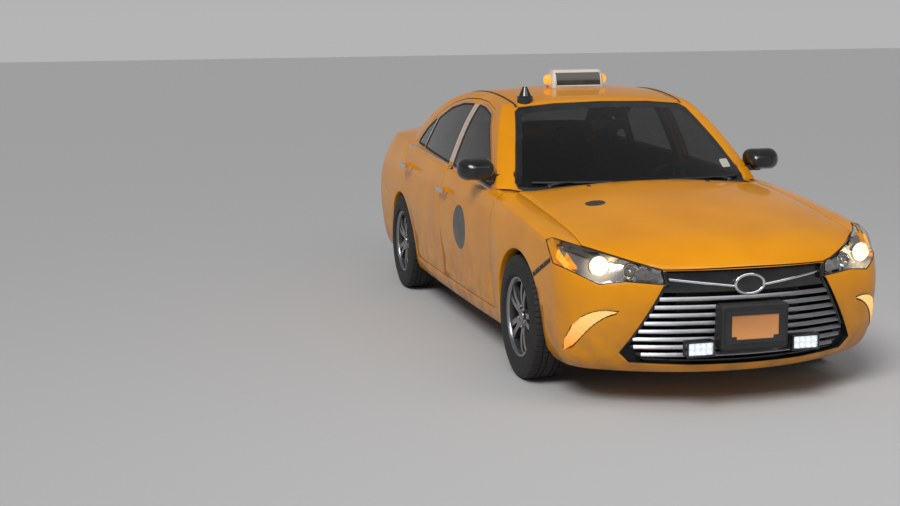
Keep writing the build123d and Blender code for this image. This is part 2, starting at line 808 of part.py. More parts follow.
# Headlamps, fog lamps with the driving pods, and tail lamps
with BuildPart() as headlamp:
    add(headlamp_region(0))
    add(walls.part, mode=Mode.INTERSECT)
write(left_and_right(headlamp.part), "headlamps")
with BuildPart() as fog_lamp:
    add(front_block(FOG_LAMP, nose - 60, nose + 420))
    add(walls.part, mode=Mode.INTERSECT)
with BuildPart() as driving_pod:
    add(box_block((204, 350), (nose - 42, nose + 60), (296, 375)))
    fillet(driving_pod.edges().group_by(Axis.Y)[0], radius=10)
    add(nose_seat.part, mode=Mode.SUBTRACT)
write(left_and_right(fog_lamp.part, driving_pod.part), "auxiliary_lamps")
with BuildPart() as tail_lamp:
    add(side_block(TAIL_LAMP_SIDE, tail_lamp_inner, far))
    add(walls.part, mode=Mode.INTERSECT)
    add(boot_gap, mode=Mode.SUBTRACT)
write(left_and_right(tail_lamp.part), "tail_lamps")

# Bumpers, the front one open for the grille and the fog lamps
with BuildPart() as front_bumper:
    add(side_block(FRONT_BUMPER_SIDE, -far, far))
    add(walls.part, mode=Mode.INTERSECT)
    add(hood_gap, mode=Mode.SUBTRACT)
    add(lamp_gap, mode=Mode.SUBTRACT)
    add(mirrored(lamp_gap), mode=Mode.SUBTRACT)
    add(front_block(mirror_outline(GRILLE), nose - 60, nose + 200), mode=Mode.SUBTRACT)
    fog_gap = front_block(FOG_LAMP, nose - 60, nose + 420, grow=panel_gap)
    add(fog_gap, mode=Mode.SUBTRACT)
    add(mirrored(fog_gap), mode=Mode.SUBTRACT)
write(front_bumper.part, "front_bumper")
with BuildPart() as rear_bumper:
    add(side_block(REAR_BUMPER_SIDE, -far, far))
    add(walls.part, mode=Mode.INTERSECT)
    add(boot_gap, mode=Mode.SUBTRACT)
    add(box_block((-lip_x + 130, lip_x - 130), (rear_axle, tail - 260), (0, floor_top)), mode=Mode.SUBTRACT)
write(rear_bumper.part, "rear_bumper")

# Grille: slats in a frame, set back behind the bumper's face
slat_pitch = 40
slat_gap = 22
with BuildPart() as slots:
    for step in range(9):
        low = 256 + step * slat_pitch
        add(box_block((-far, far), (nose - 60, nose + 200), (low, low + slat_gap)))
    add(front_block(mirror_outline(GRILLE), nose - 60, nose + 150, grow=-24), mode=Mode.INTERSECT)
with BuildPart() as grille:
    add(nose_back.part)
    add(lower_form(60, sill_bottom, 0), mode=Mode.SUBTRACT)
    add(front_block(mirror_outline(GRILLE), nose - 60, nose + 150, grow=-seat_gap), mode=Mode.INTERSECT)
    add(slots.part, mode=Mode.SUBTRACT)
write(grille.part, "grille")

# Rubber guard with a bare plate bay, on the nose
guard_width, guard_height, guard_z = 354, 224, 431
plate_width, plate_height, plate_depth = 307, 154, 6
with BuildPart() as guard:
    with Locations([(0, nose - guard_proud / 2 + 30, guard_z)]):
        Box(guard_width, guard_proud + 60, guard_height)
    fillet(guard.edges().filter_by(Axis.Y), radius=18)
    fillet(guard.edges().group_by(Axis.Y)[0], radius=12)
    with Locations([(0, nose - guard_proud, guard_z)]):
        Box(plate_width, 2 * plate_depth, plate_height, mode=Mode.SUBTRACT)
    add(nose_seat.part, mode=Mode.SUBTRACT)
write(guard.part, "front_guard")

# Rear deck: the strip ahead of the boot lid and the shelf behind the rear seat
with BuildPart() as shelf:
    add(box_block((-600, 600), (rear_axle + 22, boot_hinge_y - 60), (1010, 1030)))
    add(box_block((-540, 540), (boot_hinge_y - 80, boot_hinge_y - 60), (1010, 1120)))
    add(hollow_form.part, mode=Mode.INTERSECT)
with BuildPart() as rear_deck:
    add(box_block((-boot_half - 9, boot_half + 9), (backlight_foot - 150, boot_hinge_y), (900, 1300)))
    add(walls.part, mode=Mode.INTERSECT)
    add(backlight_region, mode=Mode.SUBTRACT)
    add(boot_gap, mode=Mode.SUBTRACT)
    add(shelf.part)
write(rear_deck.part, "rear_deck")

# Underbody: floor, firewall, cowl, rails and, as pieces of their own, the wheelhouse linings
rear_rail_low = boot_floor - 50
lean = tan(radians(kingpin_lean))
strut_hole = 58
strut_hole_x = kingpin_foot_x - (front_liner_radius + tyre_radius - kingpin_foot_z) * lean
floor_half = sill_inner - panel_gap
floor_front = cowl - 10
heel_back = heel_y + 25
boot_under = boot_floor - 25
with BuildPart() as firewall:
    add(box_block((-floor_half, floor_half), (floor_front, cowl + 15), (floor_top + panel_gap, 970)))
    add(hollow_form.part, mode=Mode.INTERSECT)
with BuildPart() as cowl_panel:
    add(box_block((-700, 700), (cowl - 200, front_axle + 650), (880, 1010)))
    add(walls.part, mode=Mode.INTERSECT)
    add(screen_region, mode=Mode.SUBTRACT)
    add(hood_gap, mode=Mode.SUBTRACT)
    add(hood_sweep, mode=Mode.SUBTRACT)
    add(firewall.part)
with BuildPart() as boot_pan:
    add(box_block((-sill_inner - 60, sill_inner + 60), (heel_y, tail - 120), (boot_under, boot_floor)))
    add(hollow_form.part, mode=Mode.INTERSECT)
    add(wheel_voids.part, mode=Mode.SUBTRACT)
heel_z = (floor_top + panel_gap, boot_under - panel_gap)
heel_board = box_block((-floor_half, floor_half), (heel_y, heel_back), heel_z)
floor_slab = box_block((-floor_half, floor_half), (floor_front, heel_back), (floor_top - 35, floor_top))
rail_low, rail_high = floor_top + 180, floor_top + 260
RailSpec = namedtuple("RailSpec", "x y z")
front_rail_y = (front_axle - 640, floor_front - panel_gap)
rear_rail_y = (heel_back + panel_gap, tail - 200)
RAILS = [
    RailSpec((420, front_wall_x - seat_gap), front_rail_y, (rail_low, rail_high)),
    RailSpec((420, 480), (floor_front, heel_back), (floor_top - 75, floor_top - 35 - panel_gap)),
    RailSpec((490, rear_wall_x - seat_gap), rear_rail_y, (rear_rail_low, heel_z[1])),
]
left_rails = [box_block(rail.x, rail.y, rail.z) for rail in RAILS]
rails = left_rails + [mirrored(rail) for rail in left_rails]
with BuildPart() as linings:
    for side in (1, -1):
        for axle, radius, wall_x in (
            (front_axle, front_liner_radius - seat_gap, front_wall_x + seat_gap),
            (rear_axle, rear_liner_radius - seat_gap, rear_wall_x + seat_gap),
        ):
            wall, lip = sorted((wall_x * side, (lip_x - 2) * side))
            add(cross_rod(radius, axle, tyre_radius, wall, lip))
            wall, lip = sorted(((wall_x + liner_thick) * side, (lip_x + 5) * side))
            add(cross_rod(radius - liner_thick, axle, tyre_radius, wall, lip), mode=Mode.SUBTRACT)
        add(upright_rod(strut_hole, strut_hole_x * side, front_axle, 600, 800), mode=Mode.SUBTRACT)
    add(cross_rod(64, rear_axle, tyre_radius, -far, far), mode=Mode.SUBTRACT)
    add(box_block((-far, far), (front_axle - 700, tail), (floor_top + 2, 900)), mode=Mode.INTERSECT)
panels = [floor_slab, cowl_panel.part, heel_board, boot_pan.part, *rails]
write(Compound(children=[*panels, *linings.part.solids()]), "underbody")

# Tyres and rims
TYRE_PROFILE = [
    (rim_radius, -92),
    (rim_radius + 30, -107.5),
    (tyre_radius - 34, -107.5),
    (tyre_radius - 6, -92),
    (tyre_radius, -70),
    (tyre_radius, 70),
    (tyre_radius - 6, 92),
    (tyre_radius - 34, 107.5),
    (rim_radius + 30, 107.5),
    (rim_radius, 92),
]
wheel_x = track / 2
stub_radius = 16
spoke_pairs = 5
stub_clearance = 0.06
with BuildPart() as tyre:
    with BuildSketch(Plane.XY):
        with BuildLine():
            Polyline(*[(across, out) for out, across in TYRE_PROFILE], close=True)
        make_face()
    revolve(axis=Axis.X)
RIM_PROFILE = [
    (rim_radius, -92),
    (rim_radius, 92),
    (rim_radius - 12, 92),
    (rim_radius - 18, 60),
    (rim_radius - 18, -84),
    (rim_radius - 10, -92),
]
with BuildPart() as rim:
    with BuildSketch(Plane.XY):
        with BuildLine():
            Polyline(*[(across, out) for out, across in RIM_PROFILE], close=True)
        make_face()
    revolve(axis=Axis.X)
    with BuildSketch(Plane.XY):
        with BuildLine():
            Line((-20, 0), (62, 0))
            Line((62, 0), (62, 40))
            ThreePointArc((62, 40), (80, 118), (76, rim_radius - 16))
            Line((76, rim_radius - 16), (46, rim_radius - 16))
            ThreePointArc((46, rim_radius - 16), (52, 118), (30, 48))
            Polyline((30, 48), (-20, 44), (-20, 0))
        make_face()
    revolve(axis=Axis.X)
    with BuildSketch(Plane.YZ.offset(-20)) as windows:
        with PolarLocations(rim_radius - 88, spoke_pairs):
            Trapezoid(154, 132, 63, rotation=90)
        with PolarLocations(rim_radius - 72, spoke_pairs, start_angle=180 / spoke_pairs):
            Trapezoid(46, 106, 80, rotation=90)
        Circle(rim_radius - 25, mode=Mode.INTERSECT)
        fillet(windows.vertices(), radius=4)
    extrude(amount=120, mode=Mode.SUBTRACT)
    with BuildSketch(Plane.YZ.offset(-20)):
        Circle(stub_radius + stub_clearance)
    extrude(amount=70, mode=Mode.SUBTRACT)
WheelPlace = namedtuple("WheelPlace", "name y side")
WHEELS = [
    WheelPlace("front_left", front_axle, 1),
    WheelPlace("front_right", front_axle, -1),
    WheelPlace("rear_left", rear_axle, 1),
    WheelPlace("rear_right", rear_axle, -1),
]
for place in WHEELS:
    for shape, name in ((tyre.part, "tyre"), (rim.part, "rim")):
        with BuildPart() as placed:
            with Locations([(wheel_x, place.y, tyre_radius)]):
                add(shape)
        write(placed.part if place.side > 0 else mirrored(placed.part), f"{name}_{place.name}")

# Steering knuckles, which turn on a leaning kingpin line


def kingpin_x(height):
    """How far out the kingpin line is at a height."""
    return kingpin_foot_x - (height - kingpin_foot_z) * lean


def kingpin_rod(radius, z_from, z_to):
    """A rod along the left kingpin line."""
    start = Vector(kingpin_x(z_from), front_axle, z_from)
    end = Vector(kingpin_x(z_to), front_axle, z_to)
    with BuildPart() as rod:
        with BuildSketch(Plane(origin=start, z_dir=end - start)):
            Circle(radius)
        extrude(amount=(end - start).length)
    return rod.part


ball_radius = 12
top_pin_radius = 12
with BuildPart() as knuckle:
    with BuildSketch(Plane.XZ.offset(-front_axle + 22)):
        with BuildLine():
            Polyline(
                (kingpin_x(178) - 28, 178),
                (kingpin_x(178) + 26, 178),
                (760, 290),
                (760, 378),
                (690, 400),
                (676, 500),
                (672, 640),
                (664, 700),
                (664, 764),
                (612, 764),
                (616, 640),
                (640, 500),
                (664, 400),
                (690, 330),
                close=True,
            )
        make_face()
    extrude(amount=-44)
    add(cross_rod(stub_radius, front_axle, tyre_radius, 740, wheel_x + 40))
    add(cross_rod(34, front_axle, tyre_radius, 720, wheel_x - 24))
    add(kingpin_rod(ball_radius + stub_clearance, 160, 205), mode=Mode.SUBTRACT)
    add(kingpin_rod(top_pin_radius + stub_clearance, 715, 780), mode=Mode.SUBTRACT)
write(knuckle.part, "knuckle_left")
write(mirrored(knuckle.part), "knuckle_right")

# Front suspension: subframe, lower arms with their ball pins, and struts
with BuildPart() as front_corner:
    with BuildSketch(Plane.XY.offset(146)):
        with BuildLine():
            Polyline(
                (380, front_axle - 110),
                (630, front_axle - 30),
                (kingpin_x(150) - 30, front_axle - 26),
                (kingpin_x(150) + 26, front_axle - 26),
                (kingpin_x(150) + 26, front_axle + 26),
                (kingpin_x(150) - 30, front_axle + 26),
                (630, front_axle + 30),
                (380, front_axle + 150),
                close=True,
            )
        make_face()
    extrude(amount=26)
    add(kingpin_rod(ball_radius, 160, 203))
    add(kingpin_rod(top_pin_radius, 720, 800))
    add(kingpin_rod(30, 776, 846))
    add(box_block((front_wall_x - 30, 700), (front_axle - 60, front_axle + 60), (800, 822)))
    tower = (front_wall_x - 30, front_wall_x - 6)
    add(box_block(tower, (front_axle - 60, front_axle + 60), (rail_high + seat_gap, 822)))
    add(box_block((300, front_wall_x - 6), (front_axle - 60, front_axle + 60), (300, 330)))
    add(box_block(tower, (front_axle - 60, front_axle + 60), (300, rail_low - seat_gap)))
with BuildPart() as front_suspension:
    add(box_block((-400, 400), (front_axle - 110, front_axle + 150), (146, 210)))
    for corner in (front_corner.part, mirrored(front_corner.part)):
        add(corner)
    for side in (1, -1):
        low, high = sorted((300 * side, 380 * side))
        add(box_block((low, high), (front_axle - 60, front_axle + 60), (200, 320)))
write(front_suspension.part, "front_suspension")

# Rear axle: a beam with a stub for each wheel and a trailing arm each side
with BuildPart() as rear_axle_beam:
    add(cross_rod(32, rear_axle, tyre_radius, -680, 680))
    for side in (1, -1):
        low, high = sorted((660 * side, (wheel_x - 24) * side))
        add(cross_rod(34, rear_axle, tyre_radius, low, high))
        low, high = sorted((700 * side, (wheel_x + 40) * side))
        add(cross_rod(stub_radius, rear_axle, tyre_radius, low, high))
        low, high = sorted((500 * side, 540 * side))
        add(box_block((low, high), (heel_y + 30, rear_axle), (300, 345)))
        add(box_block((low, high), (heel_y + 30, heel_y + 80), (300, rear_rail_low - seat_gap)))
write(rear_axle_beam.part, "rear_axle")

# Exhaust, hung from the engine and the boot floor
engine_bottom = 330.3
with BuildPart() as exhaust:
    with BuildSketch(Plane.XZ.offset(-(front_axle + 172))):
        with Locations([(0, 172)]):
            Circle(24)
    extrude(amount=-(tail - 500 - front_axle - 172))
    add(upright_rod(22, 0, front_axle + 174, 172, engine_bottom - seat_gap))
    with Locations([(0, tail - 430, 230)]):
        Box(560, 260, 150)
    for hanger_x in (-200, 200):
        add(upright_rod(8, hanger_x, tail - 430, 300, boot_floor - 25 - seat_gap))
    with BuildSketch(Plane.XZ.offset(-(tail - 320))):
        with Locations([(-220, 158)]):
            Circle(24)
    extrude(amount=-300)
    with Locations([(-220, tail - 330, 170)]):
        Box(56, 60, 60)
write(exhaust.part, "exhaust")

# Engine block with the radiator ahead of it
with BuildPart() as engine:
    add(box_block((-400, 400), (front_axle - 330, front_axle + 200), (engine_bottom, 780)))
    add(box_block((-330, 330), (nose + 150, nose + 190), (270, 660)))
    add(box_block((-60, 60), (nose + 180, front_axle - 320), (360, 420)))
write(engine.part, "engine")

# Dashboard with the steering column and wheel
with BuildPart() as dashboard:
    add(box_block((-sill_inner, sill_inner), (cowl + 15.4, cowl + 330), (620, 900)))
    add(hollow_form.part, mode=Mode.INTERSECT)
    with BuildSketch(Plane(origin=(370, cowl + 240, 740), z_dir=(0, 0.9, 0.42))):
        Circle(24)
    extrude(amount=300)
    with BuildSketch(Plane(origin=(370, cowl + 490, 857), z_dir=(0, 0.9, 0.42))):
        Circle(188)
        Circle(160, mode=Mode.SUBTRACT)
        Rectangle(340, 40)
        Circle(70)
    extrude(amount=26)
write(dashboard.part, "dashboard")

# Seats: two in front and a bench behind
with BuildPart() as front_seat:
    with BuildSketch(Plane.YZ.offset(370 - 255)) as profile:
        with BuildLine():
            Polyline(
                (-300, 300),
                (240, 290),
                (330, 300),
                (470, 940),
                (400, 960),
                (340, 860),
                (200, 470),
                (-290, 500),
                (-330, 430),
                close=True,
            )
        make_face()
        fillet(profile.vertices(), radius=24)
    extrude(amount=510)
    add(box_block((370 - 190, 370 + 190), (-220, 220), (floor_top, 330)))
    with Locations([Location((370, 455, 1010), (-12, 0, 0))]):
        Box(270, 90, 170)
    with Locations([Location((370 + d, 448, 930), (-12, 0, 0)) for d in (-50, 50)]):
        Cylinder(7, 120)
with BuildPart() as rear_bench:
    with BuildSketch(Plane.YZ.offset(-610)) as profile:
        with BuildLine():
            Polyline(
                (heel_y - 70, boot_floor),
                (heel_y + 430, boot_floor),
                (heel_y + 640, 990),
                (heel_y + 520, 1000),
                (heel_y + 350, 580),
                (heel_y - 60, 590),
                (heel_y - 100, 520),
                close=True,
            )
        make_face()
        fillet(profile.vertices(), radius=22)
    extrude(amount=1220)
    add(wheel_voids.part, mode=Mode.SUBTRACT)
    with Locations([Location((side * 360, heel_y + 600, 1050), (-16, 0, 0)) for side in (1, -1)]):
        Box(260, 80, 140)
with BuildPart() as seats:
    add(front_seat.part)
    add(mirrored(front_seat.part))
    add(rear_bench.part)
write(seats.part, "seats")

# Roof light, a tapered housing with a turn lamp at each end, and the aerial
light_y = door_split - 65
light_foot, light_top = body_height - 33, body_height + 107
with BuildPart() as roof_light:
    for z, width, depth in ((light_foot, 346, 150), (light_foot + 95, 340, 124), (light_top, 316, 84)):
        with BuildSketch(Plane.XY.offset(z)):
            with Locations([(0, light_y)]):
                RectangleRounded(width, depth, 22)
    loft()
    fillet(roof_light.edges().group_by(Axis.Z)[-1], radius=12)
    add(cross_rod(30, light_y, light_foot + 78, -206, 206))
    fillet(roof_light.edges().group_by(Axis.X)[0], radius=20)
    fillet(roof_light.edges().group_by(Axis.X)[-1], radius=20)
    add(box_block((-135, 135), (light_y - 55, light_y + 55), (light_foot - 50, light_foot + 10)))
    add(cabin_form(0, 0), mode=Mode.SUBTRACT)
write(roof_light.part, "roof_light")
with BuildPart() as aerial:
    with Locations([(-462, cowl + 775, 1380)]):
        Cylinder(48, 60, align=(Align.CENTER, Align.CENTER, Align.MIN))
    with Locations([(-462, cowl + 775, 1435)]):
        Cone(40, 14, 60, align=(Align.CENTER, Align.CENTER, Align.MIN))
    add(cabin_form(0, 0), mode=Mode.SUBTRACT)
write(aerial.part, "roof_aerial")
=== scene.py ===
"""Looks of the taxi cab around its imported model: paint, glass, lamps, wheels and trim."""

import json
from math import cos, hypot, pi, radians, sin, tau

import bmesh
import bpy
from mathutils import Matrix, Vector
from mathutils.bvhtree import BVHTree
from mathutils.geometry import convex_hull_2d


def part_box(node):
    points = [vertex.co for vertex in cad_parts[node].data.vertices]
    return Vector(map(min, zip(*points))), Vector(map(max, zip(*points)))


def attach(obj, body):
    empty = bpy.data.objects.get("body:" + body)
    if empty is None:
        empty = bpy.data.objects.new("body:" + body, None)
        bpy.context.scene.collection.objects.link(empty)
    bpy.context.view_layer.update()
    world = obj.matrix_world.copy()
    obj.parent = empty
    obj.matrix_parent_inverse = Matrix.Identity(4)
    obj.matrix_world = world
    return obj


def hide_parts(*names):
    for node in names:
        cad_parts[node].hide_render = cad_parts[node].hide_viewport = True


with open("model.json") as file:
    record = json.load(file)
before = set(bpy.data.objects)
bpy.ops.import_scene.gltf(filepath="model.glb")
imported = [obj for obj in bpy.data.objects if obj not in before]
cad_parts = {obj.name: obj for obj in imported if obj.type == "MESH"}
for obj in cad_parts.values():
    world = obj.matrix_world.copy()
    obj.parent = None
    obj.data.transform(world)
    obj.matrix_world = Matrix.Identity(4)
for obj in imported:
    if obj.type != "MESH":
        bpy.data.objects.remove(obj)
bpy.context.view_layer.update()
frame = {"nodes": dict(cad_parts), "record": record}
nodes = frame["nodes"]
scene = bpy.context.scene
scene.view_settings.view_transform = "Standard"
SIDES = (("left", 1), ("right", -1))
ENDS = ("front", "rear")


# Camera, from the fit to the photo
camera_data = bpy.data.cameras.new("camera")
camera_data.lens = 58.07
camera_data.sensor_width = 36
camera = bpy.data.objects.new("camera", camera_data)
scene.collection.objects.link(camera)
yaw, pitch, roll = radians(14.54), radians(9.31), radians(-0.525)
CAMERA_PLACE = (-3.146, -8.717, 1.930)
forward = Vector((sin(yaw) * cos(pitch), cos(yaw) * cos(pitch), -sin(pitch)))
level_right = forward.cross(Vector((0, 0, 1))).normalized()
level_up = level_right.cross(forward)
right = level_right * cos(roll) + level_up * sin(roll)
up = level_up * cos(roll) - level_right * sin(roll)
turn = Matrix((right, up, -forward)).transposed()
camera.matrix_world = Matrix.Translation(CAMERA_PLACE) @ turn.to_4x4()
camera_data.clip_start, camera_data.clip_end = 0.05, 200
scene.camera = camera


# Materials, all procedural. Each finish names the record's slot that it stands for.
slot_of = {}


def shader_of(look):
    return look.node_tree.nodes["Principled BSDF"]


def finish(name, slot, colour, rough, metallic=0.0, coat=0.0, **extra):
    """A finish with one shader; extra sockets are given by name with _ for a space."""
    look = bpy.data.materials.new(name)
    look.use_nodes = True
    sockets = {"Base Color": (*colour, 1), "Roughness": rough, "Metallic": metallic, "Coat Weight": coat}
    sockets |= {"Coat Roughness": 0.03} | {socket.replace("_", " "): value for socket, value in extra.items()}
    for socket, value in sockets.items():
        shader_of(look).inputs[socket].default_value = value
    slot_of[look.name] = slot
    return look


def add_node(look, kind, values=None, links=None):
    """A new shader node, with some sockets set and others linked."""
    made = look.node_tree.nodes.new("ShaderNode" + kind)
    for socket, value in (values or {}).items():
        made.inputs[socket].default_value = value
    for socket, source in (links or {}).items():
        look.node_tree.links.new(source, made.inputs[socket])
    return made


def link(look, source, socket):
    look.node_tree.links.new(source, shader_of(look).inputs[socket])


def position(look):
    """The place on the piece itself, in metres."""
    return add_node(look, "TexCoord").outputs["Object"]


def noise(look, scale, detail=3.0, stretch=(1, 1, 1)):
    """A noise field over the piece."""
    mapping = add_node(look, "Mapping", {"Scale": stretch}, {"Vector": position(look)})
    values = {"Scale": scale, "Detail": detail}
    return add_node(look, "TexNoise", values, {"Vector": mapping.outputs["Vector"]}).outputs["Fac"]


def ramp(look, source, low, high, low_value, high_value):
    """Carries a field from low..high to low_value..high_value, clamped."""
    span = {"From Min": low, "From Max": high, "To Min": low_value, "To Max": high_value}
    made = add_node(look, "MapRange", span, {"Value": source})
    made.clamp = True
    return made.outputs["Result"]


def height_field(look):
    """The height above the floor, in metres."""
    return add_node(look, "SeparateXYZ", links={"Vector": position(look)}).outputs["Z"]


def times(look, field, other):
    """A field times another field or a number."""
    if isinstance(other, float):
        made = add_node(look, "Math", {1: other}, {0: field})
    else:
        made = add_node(look, "Math", links={0: field, 1: other})
    made.operation = "MULTIPLY"
    return made.outputs["Value"]


def blend_colours(look, share, first, second):
    """Mixes two colours, or a colour output and a colour, by a field."""
    made = add_node(look, "Mix")
    made.data_type = "RGBA"
    look.node_tree.links.new(share, made.inputs["Factor"])
    for socket, source in (("A", first), ("B", second)):
        target = next(s for s in made.inputs if s.name == socket and s.type == "RGBA")
        if isinstance(source, tuple):
            target.default_value = (*source, 1)
        else:
            look.node_tree.links.new(source, target)
    return next(s for s in made.outputs if s.type == "RGBA")


def relief(look, field, strength, distance):
    """Bump from a field."""
    bump = add_node(look, "Bump", {"Strength": strength, "Distance": distance}, {"Height": field})
    link(look, bump.outputs["Normal"], "Normal")


ROAD_DUST = (0.13, 0.10, 0.07)


def paintwork(name, slot, colour, deeper):
    """Body paint under clear coat, a little uneven, with road dust low down."""
    look = finish(name, slot, colour, 0.34, coat=0.42, Specular_IOR_Level=0.15)
    uneven = blend_colours(look, ramp(look, noise(look, 2.3), 0.35, 0.65, 0, 1), colour, deeper)
    low = ramp(look, height_field(look), 0.62, 0.20, 0, 1)
    patches = ramp(look, noise(look, 9, 6), 0.38, 0.66, 0.15, 1)
    dust = times(look, times(look, low, patches), 0.45)
    link(look, blend_colours(look, dust, uneven, ROAD_DUST), "Base Color")
    link(look, ramp(look, dust, 0, 0.45, 0.32, 0.62), "Roughness")
    relief(look, noise(look, 420, 2), 0.03, 0.0008)
    return look


def plastic(name, slot, colour, rough, grain, coat=0.0):
    """Moulded plastic or rubber with its grain and a film of dust."""
    look = finish(name, slot, colour, rough, coat=coat)
    dusty = tuple(c + 0.009 for c in colour)
    cloud = ramp(look, noise(look, 14, 5), 0.40, 0.70, 0, 1)
    link(look, blend_colours(look, cloud, colour, dusty), "Base Color")
    link(look, ramp(look, cloud, 0, 1, rough, min(1, rough + 0.12)), "Roughness")
    if grain:
        relief(look, noise(look, grain, 2), 0.25, 0.0006)
    return look


def metal(name, slot, colour, rough, wear=0.12):
    """Bright or cast metal with faint handling marks."""
    look = finish(name, slot, colour, rough, metallic=1.0)
    marks = ramp(look, noise(look, 38, 6), 0.35, 0.75, 0, 1)
    link(look, ramp(look, marks, 0, 1, rough, rough + wear), "Roughness")
    return look


def tinted(name, slot, colour, index=1.45, rough=0.0):
    """Clear or tinted glass, with a film of dust that dulls it in patches."""
    look = finish(name, slot, colour, rough, Transmission_Weight=1.0, IOR=index)
    link(look, ramp(look, noise(look, 6, 4), 0.45, 0.75, rough, rough + 0.04), "Roughness")
    return look


def lit(name, slot, colour, strength, scale=0.0):
    """A lamp that is switched on, with the flutes or cells of its lens."""
    look = finish(name, slot, tuple(0.3 * c for c in colour), 0.25)
    shader_of(look).inputs["Emission Color"].default_value = (*colour, 1)
    shader_of(look).inputs["Emission Strength"].default_value = strength
    if scale:
        cells = ramp(look, noise(look, scale, 1, (1, 1, 0.15)), 0.3, 0.7, 0.55 * strength, 1.15 * strength)
        link(look, cells, "Emission Strength")
    return look


def glowing(name, slot, centre, reach, colour, strength):
    """A bright bowl lit by its bulb: the glow fades with distance from the bulb on either side of the car."""
    look = finish(name, slot, (0.72, 0.70, 0.66), 0.16, metallic=1.0)
    either_side = add_node(look, "VectorMath", links={0: position(look)})
    either_side.operation = "ABSOLUTE"
    away = add_node(look, "VectorMath", {1: centre}, {0: either_side.outputs["Vector"]})
    away.operation = "DISTANCE"
    near = ramp(look, away.outputs["Value"], reach, 0.02, 0, 1)
    link(look, times(look, times(look, near, near), strength), "Emission Strength")
    shader_of(look).inputs["Emission Color"].default_value = (*colour, 1)
    return look


paint = paintwork("paint", "paint", (0.74, 0.285, 0.002), (0.66, 0.245, 0.0015))
black_gloss = plastic("black_gloss", "gloss_black", (0.006, 0.006, 0.007), 0.16, 0, coat=0.5)
black_matt = plastic("black_matt", "dark_plastic", (0.016, 0.016, 0.017), 0.50, 900)
gasket = plastic("gasket", "rubber", (0.012, 0.012, 0.012), 0.62, 500)
tyre_rubber = plastic("tyre_rubber", "tyre", (0.013, 0.0125, 0.012), 0.74, 260)
underside = plastic("underside", "underbody_metal", (0.022, 0.021, 0.020), 0.75, 120)
cast_iron = metal("cast_iron", "iron", (0.10, 0.095, 0.09), 0.50, 0.25)
disc_steel = metal("disc_steel", "iron", (0.42, 0.40, 0.38), 0.28, 0.15)
chrome = metal("chrome", "steel", (0.78, 0.78, 0.79), 0.05, 0.06)
slat_metal = metal("slat_metal", "steel", (0.40, 0.41, 0.43), 0.32, 0.12)
alloy = metal("alloy", "alloy", (0.34, 0.34, 0.35), 0.26, 0.16)
alloy_dark = plastic("alloy_dark", "alloy", (0.030, 0.030, 0.031), 0.40, 0, coat=0.2)
champagne = plastic("champagne", "steel", (0.56, 0.46, 0.40), 0.30, 0, coat=0.6)
screen_glass = tinted("screen_glass", "tinted_glass", (0.44, 0.46, 0.44))
side_glass = tinted("side_glass", "tinted_glass", (0.22, 0.23, 0.22))
clear_lens = tinted("clear_lens", "lamp_lens", (0.95, 0.95, 0.95), 1.12)
red_lens = tinted("red_lens", "red_lens", (0.62, 0.012, 0.010), 1.2, 0.03)
reflector = metal("reflector", "lamp_lens", (0.72, 0.70, 0.68), 0.14, 0.10)
lamp_warm = lit("lamp_warm", "lamp_lens", (1.0, 0.86, 0.62), 5.0)
lamp_bowl = glowing("lamp_bowl", "lamp_lens", (0.715, 2.190, 0.722), 0.135, (1.0, 0.80, 0.50), 1.6)
amber_lit = lit("amber_lit", "lamp_lens", (1.0, 0.34, 0.03), 1.5, 90)
turn_lit = lit("turn_lit", "lamp_lens", (1.0, 0.50, 0.12), 0.85)
warmth = ramp(turn_lit, height_field(turn_lit), 0.31, 0.47, 0, 1)
link(turn_lit, blend_colours(turn_lit, warmth, (1.0, 0.30, 0.02), (1.0, 0.62, 0.20)), "Emission Color")
pod_lit = lit("pod_lit", "light_panel", (0.86, 0.93, 1.0), 4.0)
pod_dim = lit("pod_dim", "light_panel", (0.80, 0.88, 1.0), 0.75)
sign_housing = plastic("sign_housing", "light_panel", (0.60, 0.57, 0.50), 0.38, 300)
sign_panel = plastic("sign_panel", "light_panel", (0.030, 0.022, 0.015), 0.18, 0, coat=0.5)
plate_tan = plastic("plate_tan", "paint", (0.66, 0.27, 0.085), 0.40, 0)
sticker_pale = plastic("sticker_pale", "light_panel", (0.50, 0.49, 0.42), 0.45, 0)
decal_dark = plastic("decal_dark", "gloss_black", (0.020, 0.015, 0.009), 0.34, 0, coat=0.4)
fabric = plastic("fabric", "upholstery", (0.030, 0.029, 0.028), 0.80, 700)
dash_trim = plastic("dash_trim", "dark_plastic", (0.014, 0.0135, 0.013), 0.7, 600)

plain_looks = (
    paint, side_glass, tyre_rubber, alloy, black_gloss, black_matt, clear_lens, red_lens, gasket, underside,
    cast_iron, fabric, sign_housing,
)
looks = {slot_of[look.name]: look for look in plain_looks} | {"steel": cast_iron}
special_looks = {"windscreen": screen_glass, "grille": black_gloss, "dashboard": dash_trim}
for entry in frame["record"]["subparts"]:
    name = entry["node"]
    nodes[name].data.materials.clear()
    nodes[name].data.materials.append(special_looks.get(name, looks[entry["material_slot"]]))


# Shapes
def round_edges(piece, width, segments, angle):
    """Rounds a piece's edges that are sharper than an angle in degrees."""
    rounding = piece.modifiers.new("bevel", "BEVEL")
    rounding.width, rounding.segments = width, segments
    rounding.limit_method, rounding.angle_limit = "ANGLE", radians(angle)
    return rounding


